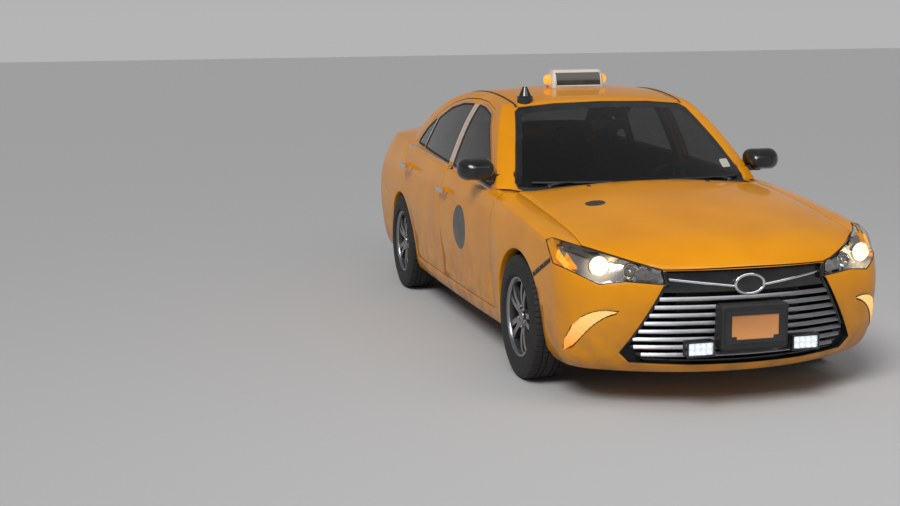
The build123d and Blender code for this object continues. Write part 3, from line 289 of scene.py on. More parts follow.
class Form:
    """A mesh under construction, in metres."""

    def __init__(self):
        self.points = []
        self.faces = []

    def add_points(self, points):
        start = len(self.points)
        self.points += [Vector(p) for p in points]
        return list(range(start, len(self.points)))

    def grid(self, rows, round_rows=False, round_columns=False, caps=False):
        """A skin over rows of points, closed round either way, with its first and last rows capped."""
        indices = [self.add_points(row) for row in rows]
        width = len(rows[0])
        across = range(width if round_columns else width - 1)
        for a in range(len(rows) if round_rows else len(rows) - 1):
            first, second = indices[a], indices[(a + 1) % len(rows)]
            for b in across:
                c = (b + 1) % width
                self.faces.append((first[b], second[b], second[c], first[c]))
        if caps:
            self.faces.append(tuple(indices[0]))
            self.faces.append(tuple(reversed(indices[-1])))
        return self

    def lathe(self, profile, origin, axis, steps=48):
        """Turns (along, radius) points about an axis."""
        axis = Vector(axis).normalized()
        side = axis.orthogonal().normalized()
        other = axis.cross(side)
        origin = Vector(origin)
        rows = []
        for step in range(steps):
            angle = tau * step / steps
            out = side * cos(angle) + other * sin(angle)
            rows.append([origin + axis * along + out * radius for along, radius in profile])
        columns = [list(column) for column in zip(*rows)]
        return self.grid(columns, round_columns=True)

    def tube(self, route, radius, sides=10):
        """A round bar along a route of points."""
        points = [Vector(p) for p in route]
        rows = []
        for i, point in enumerate(points):
            along = (points[min(i + 1, len(points) - 1)] - points[max(i - 1, 0)]).normalized()
            side = side - along * side.dot(along) if rows else along.orthogonal()
            side.normalize()
            other = along.cross(side)
            size = radius[i] if isinstance(radius, (list, tuple)) else radius
            ring = [tau * s / sides for s in range(sides)]
            rows.append([point + side * size * cos(a) + other * size * sin(a) for a in ring])
        return self.grid(rows, round_columns=True, caps=True)

    def block(self, low, high):
        """A block between two corners, for forms that are rounded off afterwards."""
        x, y, z = zip(low, high)
        bottom = [(x[0], y[0], z[0]), (x[1], y[0], z[0]), (x[1], y[1], z[0]), (x[0], y[1], z[0])]
        top = [(px, py, z[1]) for px, py, _ in bottom]
        return self.grid([bottom, top], round_columns=True, caps=True)

    def lid(self, count):
        """Closes the last ring of points."""
        last = len(self.points)
        self.faces.append(tuple(range(last - count, last)))
        return self

    def join(self, other):
        start = len(self.points)
        self.points += other.points
        self.faces += [tuple(start + i for i in face) for face in other.faces]

    def make(self, name, look, body="body", smooth=50, bevel=None):
        """The finished piece, riding on its body."""
        mesh = bpy.data.meshes.new(name)
        mesh.from_pydata(self.points, [], self.faces)
        work = bmesh.new()
        work.from_mesh(mesh)
        bmesh.ops.remove_doubles(work, verts=work.verts, dist=1e-6)
        bmesh.ops.recalc_face_normals(work, faces=work.faces)
        work.to_mesh(mesh)
        work.free()
        piece = bpy.data.objects.new(name, mesh)
        scene.collection.objects.link(piece)
        mesh.materials.append(look)
        if bevel:
            round_edges(piece, *bevel, 35)
        mesh.shade_smooth()
        mesh.set_sharp_from_angle(angle=radians(smooth))
        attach(piece, body)
        return piece


def tree_of(*names):
    """A search tree over the surfaces of the named nodes."""
    points, faces = [], []
    for name in names:
        mesh = nodes[name].data
        start = len(points)
        points += [v.co.copy() for v in mesh.vertices]
        faces += [[start + i for i in p.vertices] for p in mesh.polygons]
    return BVHTree.FromPolygons(points, faces)


def touch(tree, start, toward):
    """Where a line first meets a surface, with the surface's outward normal, or None."""
    toward = Vector(toward).normalized()
    place, normal, _, _ = tree.ray_cast(Vector(start), toward)
    if place is None:
        return None
    if normal.dot(toward) > 0:
        normal = -normal
    return place, normal


REACH = 3.0


def from_side(tree, side, y, z):
    return touch(tree, (side * REACH, y, z), (-side, 0, 0))


def from_front(tree, x, z):
    return touch(tree, (x, -REACH, z), (0, 1, 0))


def from_rear(tree, x, z):
    return touch(tree, (x, REACH, z), (0, -1, 0))


def from_top(tree, x, y):
    return touch(tree, (x, y, REACH), (0, 0, -1))


ROOT, EDGE = 0.001, 0.0012


def half_round(width, height, steps=7):
    """The section of a moulding that is let in a little, as (across, out)."""
    arc = [(width / 2 * cos(pi * s / steps), height * sin(pi * s / steps)) for s in range(steps)]
    return [(-width / 2, -ROOT), (width / 2, -ROOT), *arc, (-width / 2, 0)]


def flat_section(width, height, sink=ROOT):
    """The section of a flat trim with broken edges, as (across, out)."""
    half = width / 2
    upper = [(half, height - EDGE), (half - EDGE, height), (EDGE - half, height), (-half, height - EDGE)]
    return [(-half, -sink), (half, -sink), *upper]


def strip(rail, section, closed=False):
    """A moulding: a section carried along a rail of (place, normal)."""
    rail = [stop for stop in rail if stop]
    rows = []
    for i, (place, normal) in enumerate(rail):
        before = rail[i - 1] if closed or i else rail[i]
        after = rail[(i + 1) % len(rail)] if closed or i < len(rail) - 1 else rail[i]
        along = (after[0] - before[0]).normalized()
        across = normal.cross(along).normalized()
        out = along.cross(across)
        rows.append([place + across * a + out * b for a, b in section])
    return Form().grid(rows, round_rows=closed, round_columns=True, caps=not closed)


def sheet_over(rows, lift, sink, round_rows=False):
    """A thin skin laid on a surface, from rows of (place, normal), with its edges turned down."""
    form = Form()
    lifted = [[place + normal * lift for place, normal in row] for row in rows]
    sunk = [[place - normal * sink for place, normal in row] for row in rows]
    form.grid(lifted, round_rows=round_rows)
    if not round_rows:
        form.grid([sunk[0], lifted[0]])
        form.grid([lifted[-1], sunk[-1]])
    form.grid([[row[0] for row in lifted], [row[0] for row in sunk]], round_columns=round_rows)
    form.grid([[row[-1] for row in sunk], [row[-1] for row in lifted]], round_columns=round_rows)
    return form


def disc_over(cast, middle, radius, lift, squash):
    """A round sticker laid on a surface that cast(a, b) meets."""
    form, rings, steps = Form(), 6, 48
    centre = cast(*middle)
    rows = []
    for ring in range(1, rings + 1):
        row = []
        for step in range(steps):
            angle = tau * step / steps
            size = radius * ring / rings
            place, normal = cast(middle[0] + size * cos(angle), middle[1] + squash * size * sin(angle))
            row.append(place + normal * lift)
        rows.append(row)
    form.grid(rows, round_columns=True)
    hub = form.add_points([centre[0] + centre[1] * lift])[0]
    form.faces += [(hub, step, (step + 1) % steps) for step in range(steps)]
    return form


def between(a, b, count):
    """Evenly spaced values from a to b."""
    return [a + (b - a) * i / (count - 1) for i in range(count)]


def outline_of(name, axes, keep=None):
    """The outline of a node seen along the third axis, as a ring of (a, b)."""
    first, second = axes
    flat = [(v.co[first], v.co[second]) for v in nodes[name].data.vertices if keep is None or keep(v.co)]
    return [flat[i] for i in convex_hull_2d([Vector(p) for p in flat])]


def grown(ring, amount):
    """A convex ring moved outwards by an amount, or inwards if it is negative."""
    count = len(ring)
    area = sum(ring[i - 1][0] * ring[i][1] - ring[i][0] * ring[i - 1][1] for i in range(count))
    turn_sign = 1 if area > 0 else -1
    out = []
    for i, (a, b) in enumerate(ring):
        before, after = ring[i - 1], ring[(i + 1) % count]
        da, db = after[0] - before[0], after[1] - before[1]
        length = hypot(da, db) or 1
        out.append((a + amount * turn_sign * db / length, b - amount * turn_sign * da / length))
    return out


def resampled(ring, pitch):
    """A ring with a point at about every pitch."""
    out = []
    for (a0, b0), (a1, b1) in zip(ring, [*ring[1:], ring[0]]):
        count = max(2, int(hypot(a1 - a0, b1 - b0) / pitch))
        out += [(a0 + (a1 - a0) * i / count, b0 + (b1 - b0) * i / count) for i in range(count)]
    return out


def body_of(node):
    return next(name for name, members in frame["record"]["behaviour"]["bodies"].items() if node in members)


def rounded_ring(half_a, half_b, radius, steps):
    """The outline of a rounded oblong about the origin, as (a, b)."""
    ring = []
    for quarter, (a, b) in enumerate(((1, 1), (-1, 1), (-1, -1), (1, -1))):
        for step in range(steps):
            angle = (quarter + step / (steps - 1)) * pi / 2
            out_a, out_b = radius * cos(angle), radius * sin(angle)
            ring.append((a * (half_a - radius) + out_a, b * (half_b - radius) + out_b))
    return ring


def met(hits):
    """The casts that met their surface."""
    return [hit for hit in hits if hit]


def met_rows(rows):
    """The rows whose every cast met its surface."""
    return [row for row in rows if all(row)]


def raised(hits, height):
    """Casts moved outwards along their normals, or inwards if the height is negative."""
    return [(place + normal * height, normal) for place, normal in hits]


def cast_rows(cast, tree, spans, heights):
    """Casts over a surface, a row for each height."""
    return met_rows([cast(tree, span, height) for span in spans] for height in heights)


# Window seals, belt mouldings and pillar strips, one set for each door
QUARTER_Y, QUARTER_LEAN, QUARTER_Z = 1.095, 0.33, 1.029


def window_rings(node):
    """The outline of each pane of a window node in side view, front pane first."""
    if "rear" not in node:
        return [outline_of(node, (1, 2))]

    def ahead(p):
        return p.y < QUARTER_Y - QUARTER_LEAN * (p.z - QUARTER_Z)

    return [outline_of(node, (1, 2), ahead), outline_of(node, (1, 2), lambda p: not ahead(p))]


def run_of(ring, keep):
    """The longest unbroken run of a ring's points that pass a test."""
    start = next(i for i, p in enumerate(ring) if not keep(p))
    best, current = [], []
    for p in ring[start:] + ring[:start]:
        current = current + [p] if keep(p) else []
        best = max(best, current, key=len)
    return best


SEAL_LAP, SEAL_COVER = 0.007, 0.006
BELT_DROP, CORNER_REACH = 0.0165, 0.12
PANEL_X, FRAME_X = 0.7, 0.4
SHOULDER_Y, SHOULDER_Z, SHOULDER_RISE = 0.167, 0.968, 0.098
for side_name, side in SIDES:
    for end in ENDS:
        door, window = f"door_{end}_{side_name}", f"window_{end}_{side_name}"
        body = body_of(door)
        skin, pane = tree_of(door), tree_of(window)
        seals = Form()
        for ring in window_rings(window):
            ring = resampled(ring, 0.03)
            outer = [from_side(skin, side, y, z) for y, z in grown(ring, SEAL_LAP)]
            inner = [from_side(pane, side, y, z) for y, z in grown(ring, -SEAL_COVER)]
            rows = []
            for (o, o_out), (i, i_out) in met_rows(zip(outer, inner)):
                middle = (o + i) / 2 + o_out * 0.0035
                rows.append([o + o_out * 0.0002, o + o_out * 0.002, middle, i + i_out * 0.001, i])
            seals.grid(rows, round_rows=True)
        seals.make(f"window_seals_{end}_{side_name}", gasket, body, smooth=60)

        low = [(y, z) for ring in window_rings(window) for y, z in ring]
        start, stop = min(low)[0], max(low)[0]
        from_y, from_z = min((p for p in low if p[0] < start + CORNER_REACH), key=lambda p: p[1])
        to_y, to_z = max((p for p in low if p[0] > stop - CORNER_REACH), key=lambda p: -p[1])

        def belt(y):
            """The height of the panes' foot at a place along the door."""
            return from_z + (to_z - from_z) / (to_y - from_y) * (y - from_y)

        reach = (start - 0.03, stop - 0.022) if end == "front" else (SHOULDER_Y, stop + 0.036)
        rail = []
        for y in between(*reach, 40):
            height = belt(y) - BELT_DROP
            if end == "rear":
                height = min(height, SHOULDER_Z + SHOULDER_RISE * (y - SHOULDER_Y))
            rail.append(from_side(skin, side, y, height))
        rail = [hit for hit in met(rail) if abs(hit[0].x) > PANEL_X]
        strip(rail, half_round(0.015, 0.006)).make(f"belt_moulding_{end}_{side_name}", chrome, body)

        around = resampled(grown(resampled(outline_of(window, (1, 2)), 0.03), 0.019), 0.02)
        pillar_y = stop - 0.03 if end == "front" else start + 0.10

        def over_window(p):
            clear = p[0] < pillar_y if end == "front" else p[0] > pillar_y
            return clear and p[1] > belt(p[0]) + 0.02

        rail = met(from_side(skin, side, y, z) for y, z in run_of(around, over_window))
        rail = [hit for hit in rail if hit[0].x * side > FRAME_X]
        strip(rail, half_round(0.010, 0.004)).make(f"window_moulding_{end}_{side_name}", chrome, body)


# Satin strips on the window frames: edges as (y at the foot, slope) and the height span
PILLAR_STRIPS = (
    ("front", "pillar_strip_front", (0.186, 0.032), (0.231, 0.038), (1.004, 1.366)),
    ("rear", "pillar_strip_rear", (0.2445, 0.038), (0.290, 0.027), (1.006, 1.366)),
    ("rear", "quarter_divider", (1.083, -0.347), (1.107, -0.318), (1.040, 1.216)),
)
for side_name, side in SIDES:
    for end, name, low_edge, high_edge, span in PILLAR_STRIPS:
        skin = tree_of(f"door_{end}_{side_name}")
        rows = []
        for z in between(*span, 24):
            low, high = (y + slope * (z - span[0]) for y, slope in (low_edge, high_edge))
            rows.append([from_side(skin, side, y, z) for y in between(low, high, 5)])
        form = sheet_over(met_rows(rows), 0.0014, 0.0004)
        form.make(f"{name}_{side_name}", champagne, f"{end}_door_{side_name}")


# Windscreen and rear window: black border, rubber moulding and wipers
def screen_border(node, cast, width):
    """The black border printed on a screen, and the moulding round it."""
    pane = tree_of(node)
    ring = resampled(outline_of(node, (0, 2)), 0.04)
    rows = []
    for (a, b), (c, d) in zip(grown(ring, -0.003), grown(ring, -width)):
        rows.append([cast(pane, a + (c - a) * share, b + (d - b) * share) for share in (0, 0.5, 1)])
    sheet_over(met_rows(rows), 0.0005, 0.0, round_rows=True).make(node + "_border", black_gloss, smooth=60)
    rail = [cast(pane, a, b) for a, b in grown(ring, -0.004)]
    strip(rail, half_round(0.011, 0.0035), closed=True).make(node + "_moulding", gasket, smooth=60)


screen_border("windscreen", from_front, 0.035)
screen_border("rear_window", from_rear, 0.045)
screen = tree_of("windscreen")
PIVOT_Y = -0.965
RUBBER_SECTION = [(-0.002, -0.009), (0.002, -0.009), (0.004, 0), (-0.004, 0)]
PIVOT_CAP = [(0, 0.016), (0.015, 0.016), (0.020, 0.010), (0.021, 0)]


def wiper(name, pivot_x, from_x, to_x, foot, lean):
    """An arm on its pivot and a blade along the foot of the screen, low enough for the opened hood."""
    hits = met(from_front(screen, x, foot + lean * (x - from_x)) for x in between(from_x, to_x, 16))
    blade = raised(hits, 0.010)
    strip(blade, flat_section(0.012, 0.006)).make(name + "_blade", black_matt)
    strip(blade, RUBBER_SECTION).make(name + "_rubber", gasket)
    middle = blade[len(blade) // 2][0]
    pivot = from_top(tree_of("windscreen", "underbody", "hood"), pivot_x, PIVOT_Y)[0]
    base = pivot + Vector((0, 0, 0.012))
    elbow = base + (middle - base) * 0.45 + Vector((0, -0.004, 0.009))
    arm = Form().tube([base, elbow, middle + Vector((0, -0.003, 0.005))], [0.010, 0.007, 0.0045], sides=8)
    arm.lathe(PIVOT_CAP, pivot, (0, 0, 1), 20).make(name + "_arm", black_matt)


wiper("wiper_right", -0.55, -0.62, 0.02, 0.974, 0.012)
wiper("wiper_left", 0.55, 0.06, 0.66, 0.982, -0.020)


# Front: slats and chrome strip, emblem place, plate in the guard, retainer strip
grille_skin = tree_of("grille")
nose_skin = tree_of("grille", "front_bumper", "headlamps")
GRILLE_LOW = (0.622, 0.300)
GRILLE_HIGH = (0.430, 0.636)
SLAT_FIRST, SLAT_PITCH, SLAT_COUNT, SLAT_REAR = 0.287, 0.040, 8, -2.1
SLAT_SECTION = [
    (-0.0105, -0.004), (0.0105, -0.004), (0.0105, 0.0005), (0.0075, 0.0035), (-0.0065, 0.0085),
    (-0.0105, 0.0060),
]


def grille_half(z):
    """The half width of the grille opening at a height."""
    share = (z - GRILLE_LOW[1]) / (GRILLE_HIGH[1] - GRILLE_LOW[1])
    return GRILLE_LOW[0] + share * (GRILLE_HIGH[0] - GRILLE_LOW[0])


CORNER_X, CORNER_LEAN, CORNER_LOW, CORNER_HIGH = 0.4075, 0.19, 0.630, 0.712
WING_Z, WING_RISE, WING_END = 0.6115, 0.125, 0.405
slats = Form()
for step in range(SLAT_COUNT):
    z = SLAT_FIRST + step * SLAT_PITCH
    reach = grille_half(z) - 0.026
    hits = met(from_front(grille_skin, x, z) for x in between(-reach, reach, 41))
    rail = [(p, Vector((n.x, n.y, 0)).normalized()) for p, n in hits if p.y < SLAT_REAR]
    slats.join(strip(rail, SLAT_SECTION))
slats.make("grille_slats", slat_metal)

EMBLEM = (0.0, 0.629)
EMBLEM_HALF = (0.0825, 0.055)
frame_line, corner_trim, wings = Form(), Form(), Form()
for side in (1, -1):
    heights = between(GRILLE_LOW[1], GRILLE_HIGH[1], 14)
    rail = [from_front(grille_skin, side * (grille_half(z) - 0.012), z) for z in heights]
    frame_line.join(strip(rail, half_round(0.014, 0.006)))
    places = [(CORNER_X + CORNER_LEAN * (z - GRILLE_HIGH[1]), z) for z in between(CORNER_LOW, CORNER_HIGH, 9)]
    rail = [from_front(nose_skin, side * x, z) for x, z in places]
    corner_trim.join(strip(rail, flat_section(0.020, 0.0014)))
    spans = between(EMBLEM_HALF[0] - 0.006, WING_END, 26)
    rail = [from_front(nose_skin, side * x, WING_Z + WING_RISE * x) for x in spans]
    wings.join(strip(rail, half_round(0.015, 0.008)))
frame_line.make("grille_frame", black_gloss)
corner_trim.make("grille_corner_trim", black_gloss)
wings.make("grille_chrome_strip", chrome)

seat = from_front(grille_skin, *EMBLEM)[0]
EMBLEM_DISH = ((1.0, 0.004), (0.93, 0.0), (0.6, -0.003), (0.25, -0.0045))
turns = [tau * s / 10 for s in range(10)]
ring_rows, face_rows = [], []
for step in range(64):
    angle = tau * step / 64
    out = Vector((cos(angle), 0, sin(angle)))
    place = Vector((EMBLEM_HALF[0] * cos(angle), seat.y - 0.006, EMBLEM[1] + EMBLEM_HALF[1] * sin(angle)))
    middle = place - out * 0.0075
    ring_rows.append([middle + out * 0.0085 * cos(a) + Vector((0, -0.0075 * sin(a), 0)) for a in turns])
    face_rows.append([
        Vector((place.x * k, place.y + d, EMBLEM[1] + (place.z - EMBLEM[1]) * k)) for k, d in EMBLEM_DISH
    ])
Form().grid(ring_rows, round_rows=True, round_columns=True).make("emblem_ring", chrome, smooth=60)
emblem_face = Form().grid(face_rows, round_rows=True)
emblem_face.faces.append(tuple(i * 4 + 3 for i in range(64)))
emblem_face.make("emblem_blank", black_gloss, smooth=60)

guard_low, guard_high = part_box("front_guard")
GUARD_Z = (guard_low[2] + guard_high[2]) / 2
plate_y = guard_low[1] + 0.0045
PLATE_HALF = (0.151, 0.075)
PLATE_RIM = ((1, 0), (1, 0.0015), (0.975, 0.0028), (0.955, 0.0028), (0.94, 0.0012))


def plate(name, look, y, z, facing):
    """A blank pressed plate: a thin panel with rounded corners and a raised rim."""
    ring = rounded_ring(*PLATE_HALF, 0.012, 6)
    rows = [[(a * k, y + facing * lift, z + b * k) for a, b in ring] for k, lift in PLATE_RIM]
    return Form().grid(rows, round_columns=True).lid(len(ring)).make(name, look, smooth=40)


plate("front_plate_blank", plate_tan, plate_y, GUARD_Z, -1)
out_a, out_b, in_a, in_b, notch_a, notch_b = 0.158, 0.080, 0.124, 0.059, 0.098, -0.044
outer_ring = [(a * out_a, -out_b) for a in (-1, -0.62, 0, 0.62, 1)] + [(out_a, -0.74 * out_b), (out_a, 0)]
outer_ring += [(out_a, out_b), (0, out_b), (-out_a, out_b), (-out_a, 0), (-out_a, -0.74 * out_b)]
inner_ring = [(-notch_a, notch_b), (-notch_a, -in_b), (0, -in_b), (notch_a, -in_b), (notch_a, notch_b)]
inner_ring += [(in_a, notch_b), (in_a, 0), (in_a, in_b), (0, in_b), (-in_a, in_b), (-in_a, 0), (-in_a, notch_b)]
rows = []
for ring, lift in ((outer_ring, 0.002), (outer_ring, 0.006), (inner_ring, 0.0055), (inner_ring, 0.002)):
    rows.append([(a, plate_y - lift, GUARD_Z + b) for a, b in ring])
holder = Form().grid(rows, round_columns=True)
holder.make("front_plate_holder", black_gloss, smooth=30, bevel=(0.0012, 2))

RETAINER_Y, RETAINER_Z = (-1.690, -1.952), (0.603, 0.725)
CLIP = [(0.001, 0.0045), (0.0062, 0.0045), (0.0075, 0.002), (0.0076, 0)]
retainer_skin = tree_of("fenders", "front_bumper")
places = zip(between(*RETAINER_Y, 18), between(*RETAINER_Z, 18))
rail = met(from_side(retainer_skin, -1, y, z) for y, z in places)
strip(rail, flat_section(0.021, 0.004, 0.001)).make("bumper_retainer", black_matt, smooth=30)
clips = Form()
for place, normal in rail[3:-2:4]:
    clips.lathe(CLIP, place, normal, 12)
clips.make("bumper_retainer_clips", slat_metal)


# Lamps: each is a clear skin over a bowl, made from the outer faces of its solid
FACING, LOOP_LIMIT = 0.42, 5000
BOWL_SHRINK, LENS_THICKNESS, RIM_SETBACK, GASKET_PITCH = 0.93, 0.0025, 0.0032, 0.006


def lamp_skin(node, side, outward):
    """The outer faces of one lamp's solid, as (points, faces, the loop of edge points in order)."""
    work = bmesh.new()
    work.from_mesh(nodes[node].data)
    bmesh.ops.remove_doubles(work, verts=work.verts, dist=1e-6)
    drop = [f for f in work.faces if f.calc_center_median().x * side <= 0 or f.normal.dot(outward) < FACING]
    bmesh.ops.delete(work, geom=drop, context="FACES")
    work.verts.index_update()
    points = [v.co.copy() for v in work.verts]
    faces = [tuple(v.index for v in f.verts) for f in work.faces]
    edges = {}
    for edge in work.edges:
        if len(edge.link_faces) == 1:
            a, b = (v.index for v in edge.verts)
            edges.setdefault(a, []).append(b)
            edges.setdefault(b, []).append(a)
    loops, seen = [], set()
    for start in edges:
        if start in seen:
            continue
        loop, at, last = [start], edges[start][0], start
        while at != start and len(loop) < LOOP_LIMIT:
            loop.append(at)
            last, at = at, next((n for n in edges[at] if n != last), start)
        seen.update(loop)
        loops.append(loop)
    work.free()
    return points, faces, max(loops, key=len)


def lamp_shell(name, node, side, outward, depth, lens_look, bowl_look):
    """A lens of real thickness with a bowl behind it and a gasket round it."""
    outward = outward.normalized()
    points, faces, rim = lamp_skin(node, side, outward)
    lens, bowl = Form(), Form()
    lens.points, lens.faces = [p.copy() for p in points], list(faces)
    thick = lens.make(name + "_lens", lens_look).modifiers.new("thickness", "SOLIDIFY")
    thick.thickness, thick.offset = LENS_THICKNESS, -1
    middle = sum(points, Vector()) / len(points)
    back = [middle + (p - middle) * BOWL_SHRINK - outward * depth for p in points]
    bowl.points, bowl.faces = back, list(faces)
    front_row = [points[i] - outward * RIM_SETBACK for i in rim]
    half_row = [middle + (points[i] - middle) * (BOWL_SHRINK + 1) / 2 - outward * depth * 0.8 for i in rim]
    bowl.grid([front_row, half_row, [back[i] for i in rim]], round_columns=True)
    bowl.make(name + "_bowl", bowl_look, smooth=40)
    skin = BVHTree.FromPolygons(points, faces)
    rail = []
    for i in rim:
        if not rail or (points[i] - rail[-1][0]).length > GASKET_PITCH:
            rail.append((points[i], skin.find_nearest(points[i])[1]))
    rail = [(p, n if n.dot(outward) > 0 else -n) for p, n in rail]
    strip(rail, flat_section(0.0052, 0.0016, 0.004), closed=True).make(name + "_gasket", gasket, smooth=60)


def eased_line(points, count):
    """A smooth line through a few points."""
    out = []
    last = len(points) - 1
    for step in range(count):
        t = step * last / (count - 1)
        i = min(int(t), last - 1)
        f = t - i
        p0, p1, p2, p3 = points[max(i - 1, 0)], points[i], points[i + 1], points[min(i + 2, last)]
        out.append(tuple(
            0.5 * (2 * b + (c - a) * f + (2 * a - 5 * b + 4 * c - d) * f * f + (3 * b - a - 3 * c + d) * f**3)
            for a, b, c, d in zip(p0, p1, p2, p3)
        ))
    return out


def near_front(tree, x, z):
    """The surface seen from the front, drawn in a little where the line passes the body's corner."""
    return next(filter(None, (from_front(tree, x * (1 - 0.003 * pull), z) for pull in range(20))))


def evened(rows, passes=4):
    """Rows of (place, normal) with the small steps between neighbouring solids smoothed away along the rows."""
    for _ in range(passes):
        inner = []
        for before, row, after in zip(rows, rows[1:], rows[2:]):
            inner.append([
                ((b[0] + 2 * s[0] + a[0]) / 4, (b[1] + 2 * s[1] + a[1]).normalized())
                for b, s, a in zip(before, row, after)
            ])
        rows = [rows[0], *inner, rows[-1]]
    return rows


# Headlamps: (x, z) of the dishes, the amber marker as (y, z), and the turn lamps' edges as (x, z)
MAIN_LAMP, HIGH_LAMP = (0.712, 0.722), (0.575, 0.699)
AMBER_FROM, AMBER_TO = (-2.085, 0.712), (-1.985, 0.768)
BROW_X, BROW_REACH, BROW_Z, BROW_RISE, BROW_CROWN = 0.440, 0.36, 0.7085, 0.290, 0.006
FLUTES, FLUTE_X, FLUTE_PITCH, FLUTE_DEPTH = 16, 0.442, 0.0065, 0.020
LAMP_RING = ((-0.001, 0), (0.0045, 0.0015), (0.0045, 0.0045), (-0.012, 0.0065))
BULB = [(-0.034, 0.0105), (-0.020, 0.0100), (-0.012, 0.0085), (-0.007, 0.0050), (-0.0055, 0.0005)]
TURN_OUTER = (
    (0.640, 0.508), (0.690, 0.514), (0.742, 0.506), (0.786, 0.480),
    (0.816, 0.436), (0.834, 0.380), (0.841, 0.330), (0.838, 0.288),
)
TURN_INNER = (
    (0.640, 0.503), (0.676, 0.490), (0.712, 0.468), (0.744, 0.438),
    (0.770, 0.402), (0.792, 0.362), (0.812, 0.322), (0.834, 0.286),
)
lamp_tree = tree_of("headlamps")
turn_tree = tree_of("auxiliary_lamps", "front_bumper", "fenders")
for side_name, side in SIDES:
    outward = Vector((side * 0.55, -0.80, 0.25))
    lamp_shell(f"headlamp_{side_name}", "headlamps", side, outward, 0.050, clear_lens, lamp_bowl)
    glow, dishes, rings = Form(), Form(), Form()
    for (x, z), radius, bulb_form in ((MAIN_LAMP, 0.046, glow), (HIGH_LAMP, 0.034, rings)):
        centre = from_front(lamp_tree, side * x, z)[0] + Vector((-side * 0.006, 0.016, 0))
        aim = Vector((side * 0.10, -1, 0.02)).normalized()
        dishes.lathe([(-0.034 * (1 - (r / radius) ** 2), r) for r in between(0.004, radius, 12)], centre, aim)
        rings.lathe([(along, radius + more) for along, more in LAMP_RING], centre, aim)
        bulb_form.lathe(BULB, centre, aim, 24)
    glow.make(f"headlamp_bulb_{side_name}", lamp_warm, smooth=60)
    dishes.make(f"headlamp_dishes_{side_name}", lamp_bowl, smooth=60)
    rings.make(f"headlamp_rings_{side_name}", reflector)
    flutes = Form()
    for count in range(FLUTES):
        x = FLUTE_X + count * FLUTE_PITCH
        low_z, high_z = 0.652 + 0.02 * (x - 0.44), 0.700 + 0.28 * (x - 0.44)
        stops = met(from_front(lamp_tree, side * x, z) for z in between(low_z + 0.006, high_z - 0.010, 5))
        if len(stops) == 5:
            stops = [(p + Vector((0, FLUTE_DEPTH, 0)), n) for p, n in stops]
            flutes.join(strip(stops, half_round(0.0055, 0.0030, steps=5)))
    flutes.make(f"headlamp_flutes_{side_name}", reflector)
    brow = []
    for share in between(0, 1, 22):
        x = BROW_X + BROW_REACH * share
        height = BROW_Z + BROW_RISE * (x - BROW_X) + BROW_CROWN * sin(pi * share)
        brow.append(from_front(lamp_tree, side * x, height))
    brow = [(p + Vector((0, 0.010, 0)), n) for p, n in met(brow)]
    strip(brow, flat_section(0.013, 0.004)).make(f"headlamp_brow_{side_name}", black_gloss, smooth=40)
    rows = []
    for share in between(0, 1, 7):
        y, z = (a + share * (b - a) for a, b in zip(AMBER_FROM, AMBER_TO))
        rises = between(-0.014 - 0.012 * share, 0.012 + 0.004 * share, 4)
        rows.append([from_side(lamp_tree, side, y, z + rise) for rise in rises])
    rows = [raised(row, -0.016) for row in met_rows(rows)]
    sheet_over(rows, 0.003, 0.004).make(f"headlamp_marker_{side_name}", amber_lit)

    rows = []
    for (a, b), (c, d) in zip(eased_line(TURN_OUTER, 40), eased_line(TURN_INNER, 40)):
        stops = [(side * (a + (c - a) * k), b + (d - b) * k) for k in between(0, 1, 7)]
        rows.append([near_front(turn_tree, x, z) for x, z in stops])
    rows = evened(rows)
    sheet_over(rows, 0.0022, 0.003).make(f"turn_lamp_{side_name}", turn_lit, smooth=60)
    edge = [row[0] for row in rows] + [row[-1] for row in reversed(rows)][1:-1]
    bezel = strip(edge, flat_section(0.004, 0.0034, 0.003), closed=True)
    bezel.make(f"turn_lamp_bezel_{side_name}", black_gloss)
    ridges = Form()
    for row in rows[3:37:3]:
        ridges.join(strip(raised(row, 0.0015), half_round(0.0045, 0.0026, steps=4)))
    ridges.make(f"turn_lamp_ridges_{side_name}", turn_lit, smooth=60)

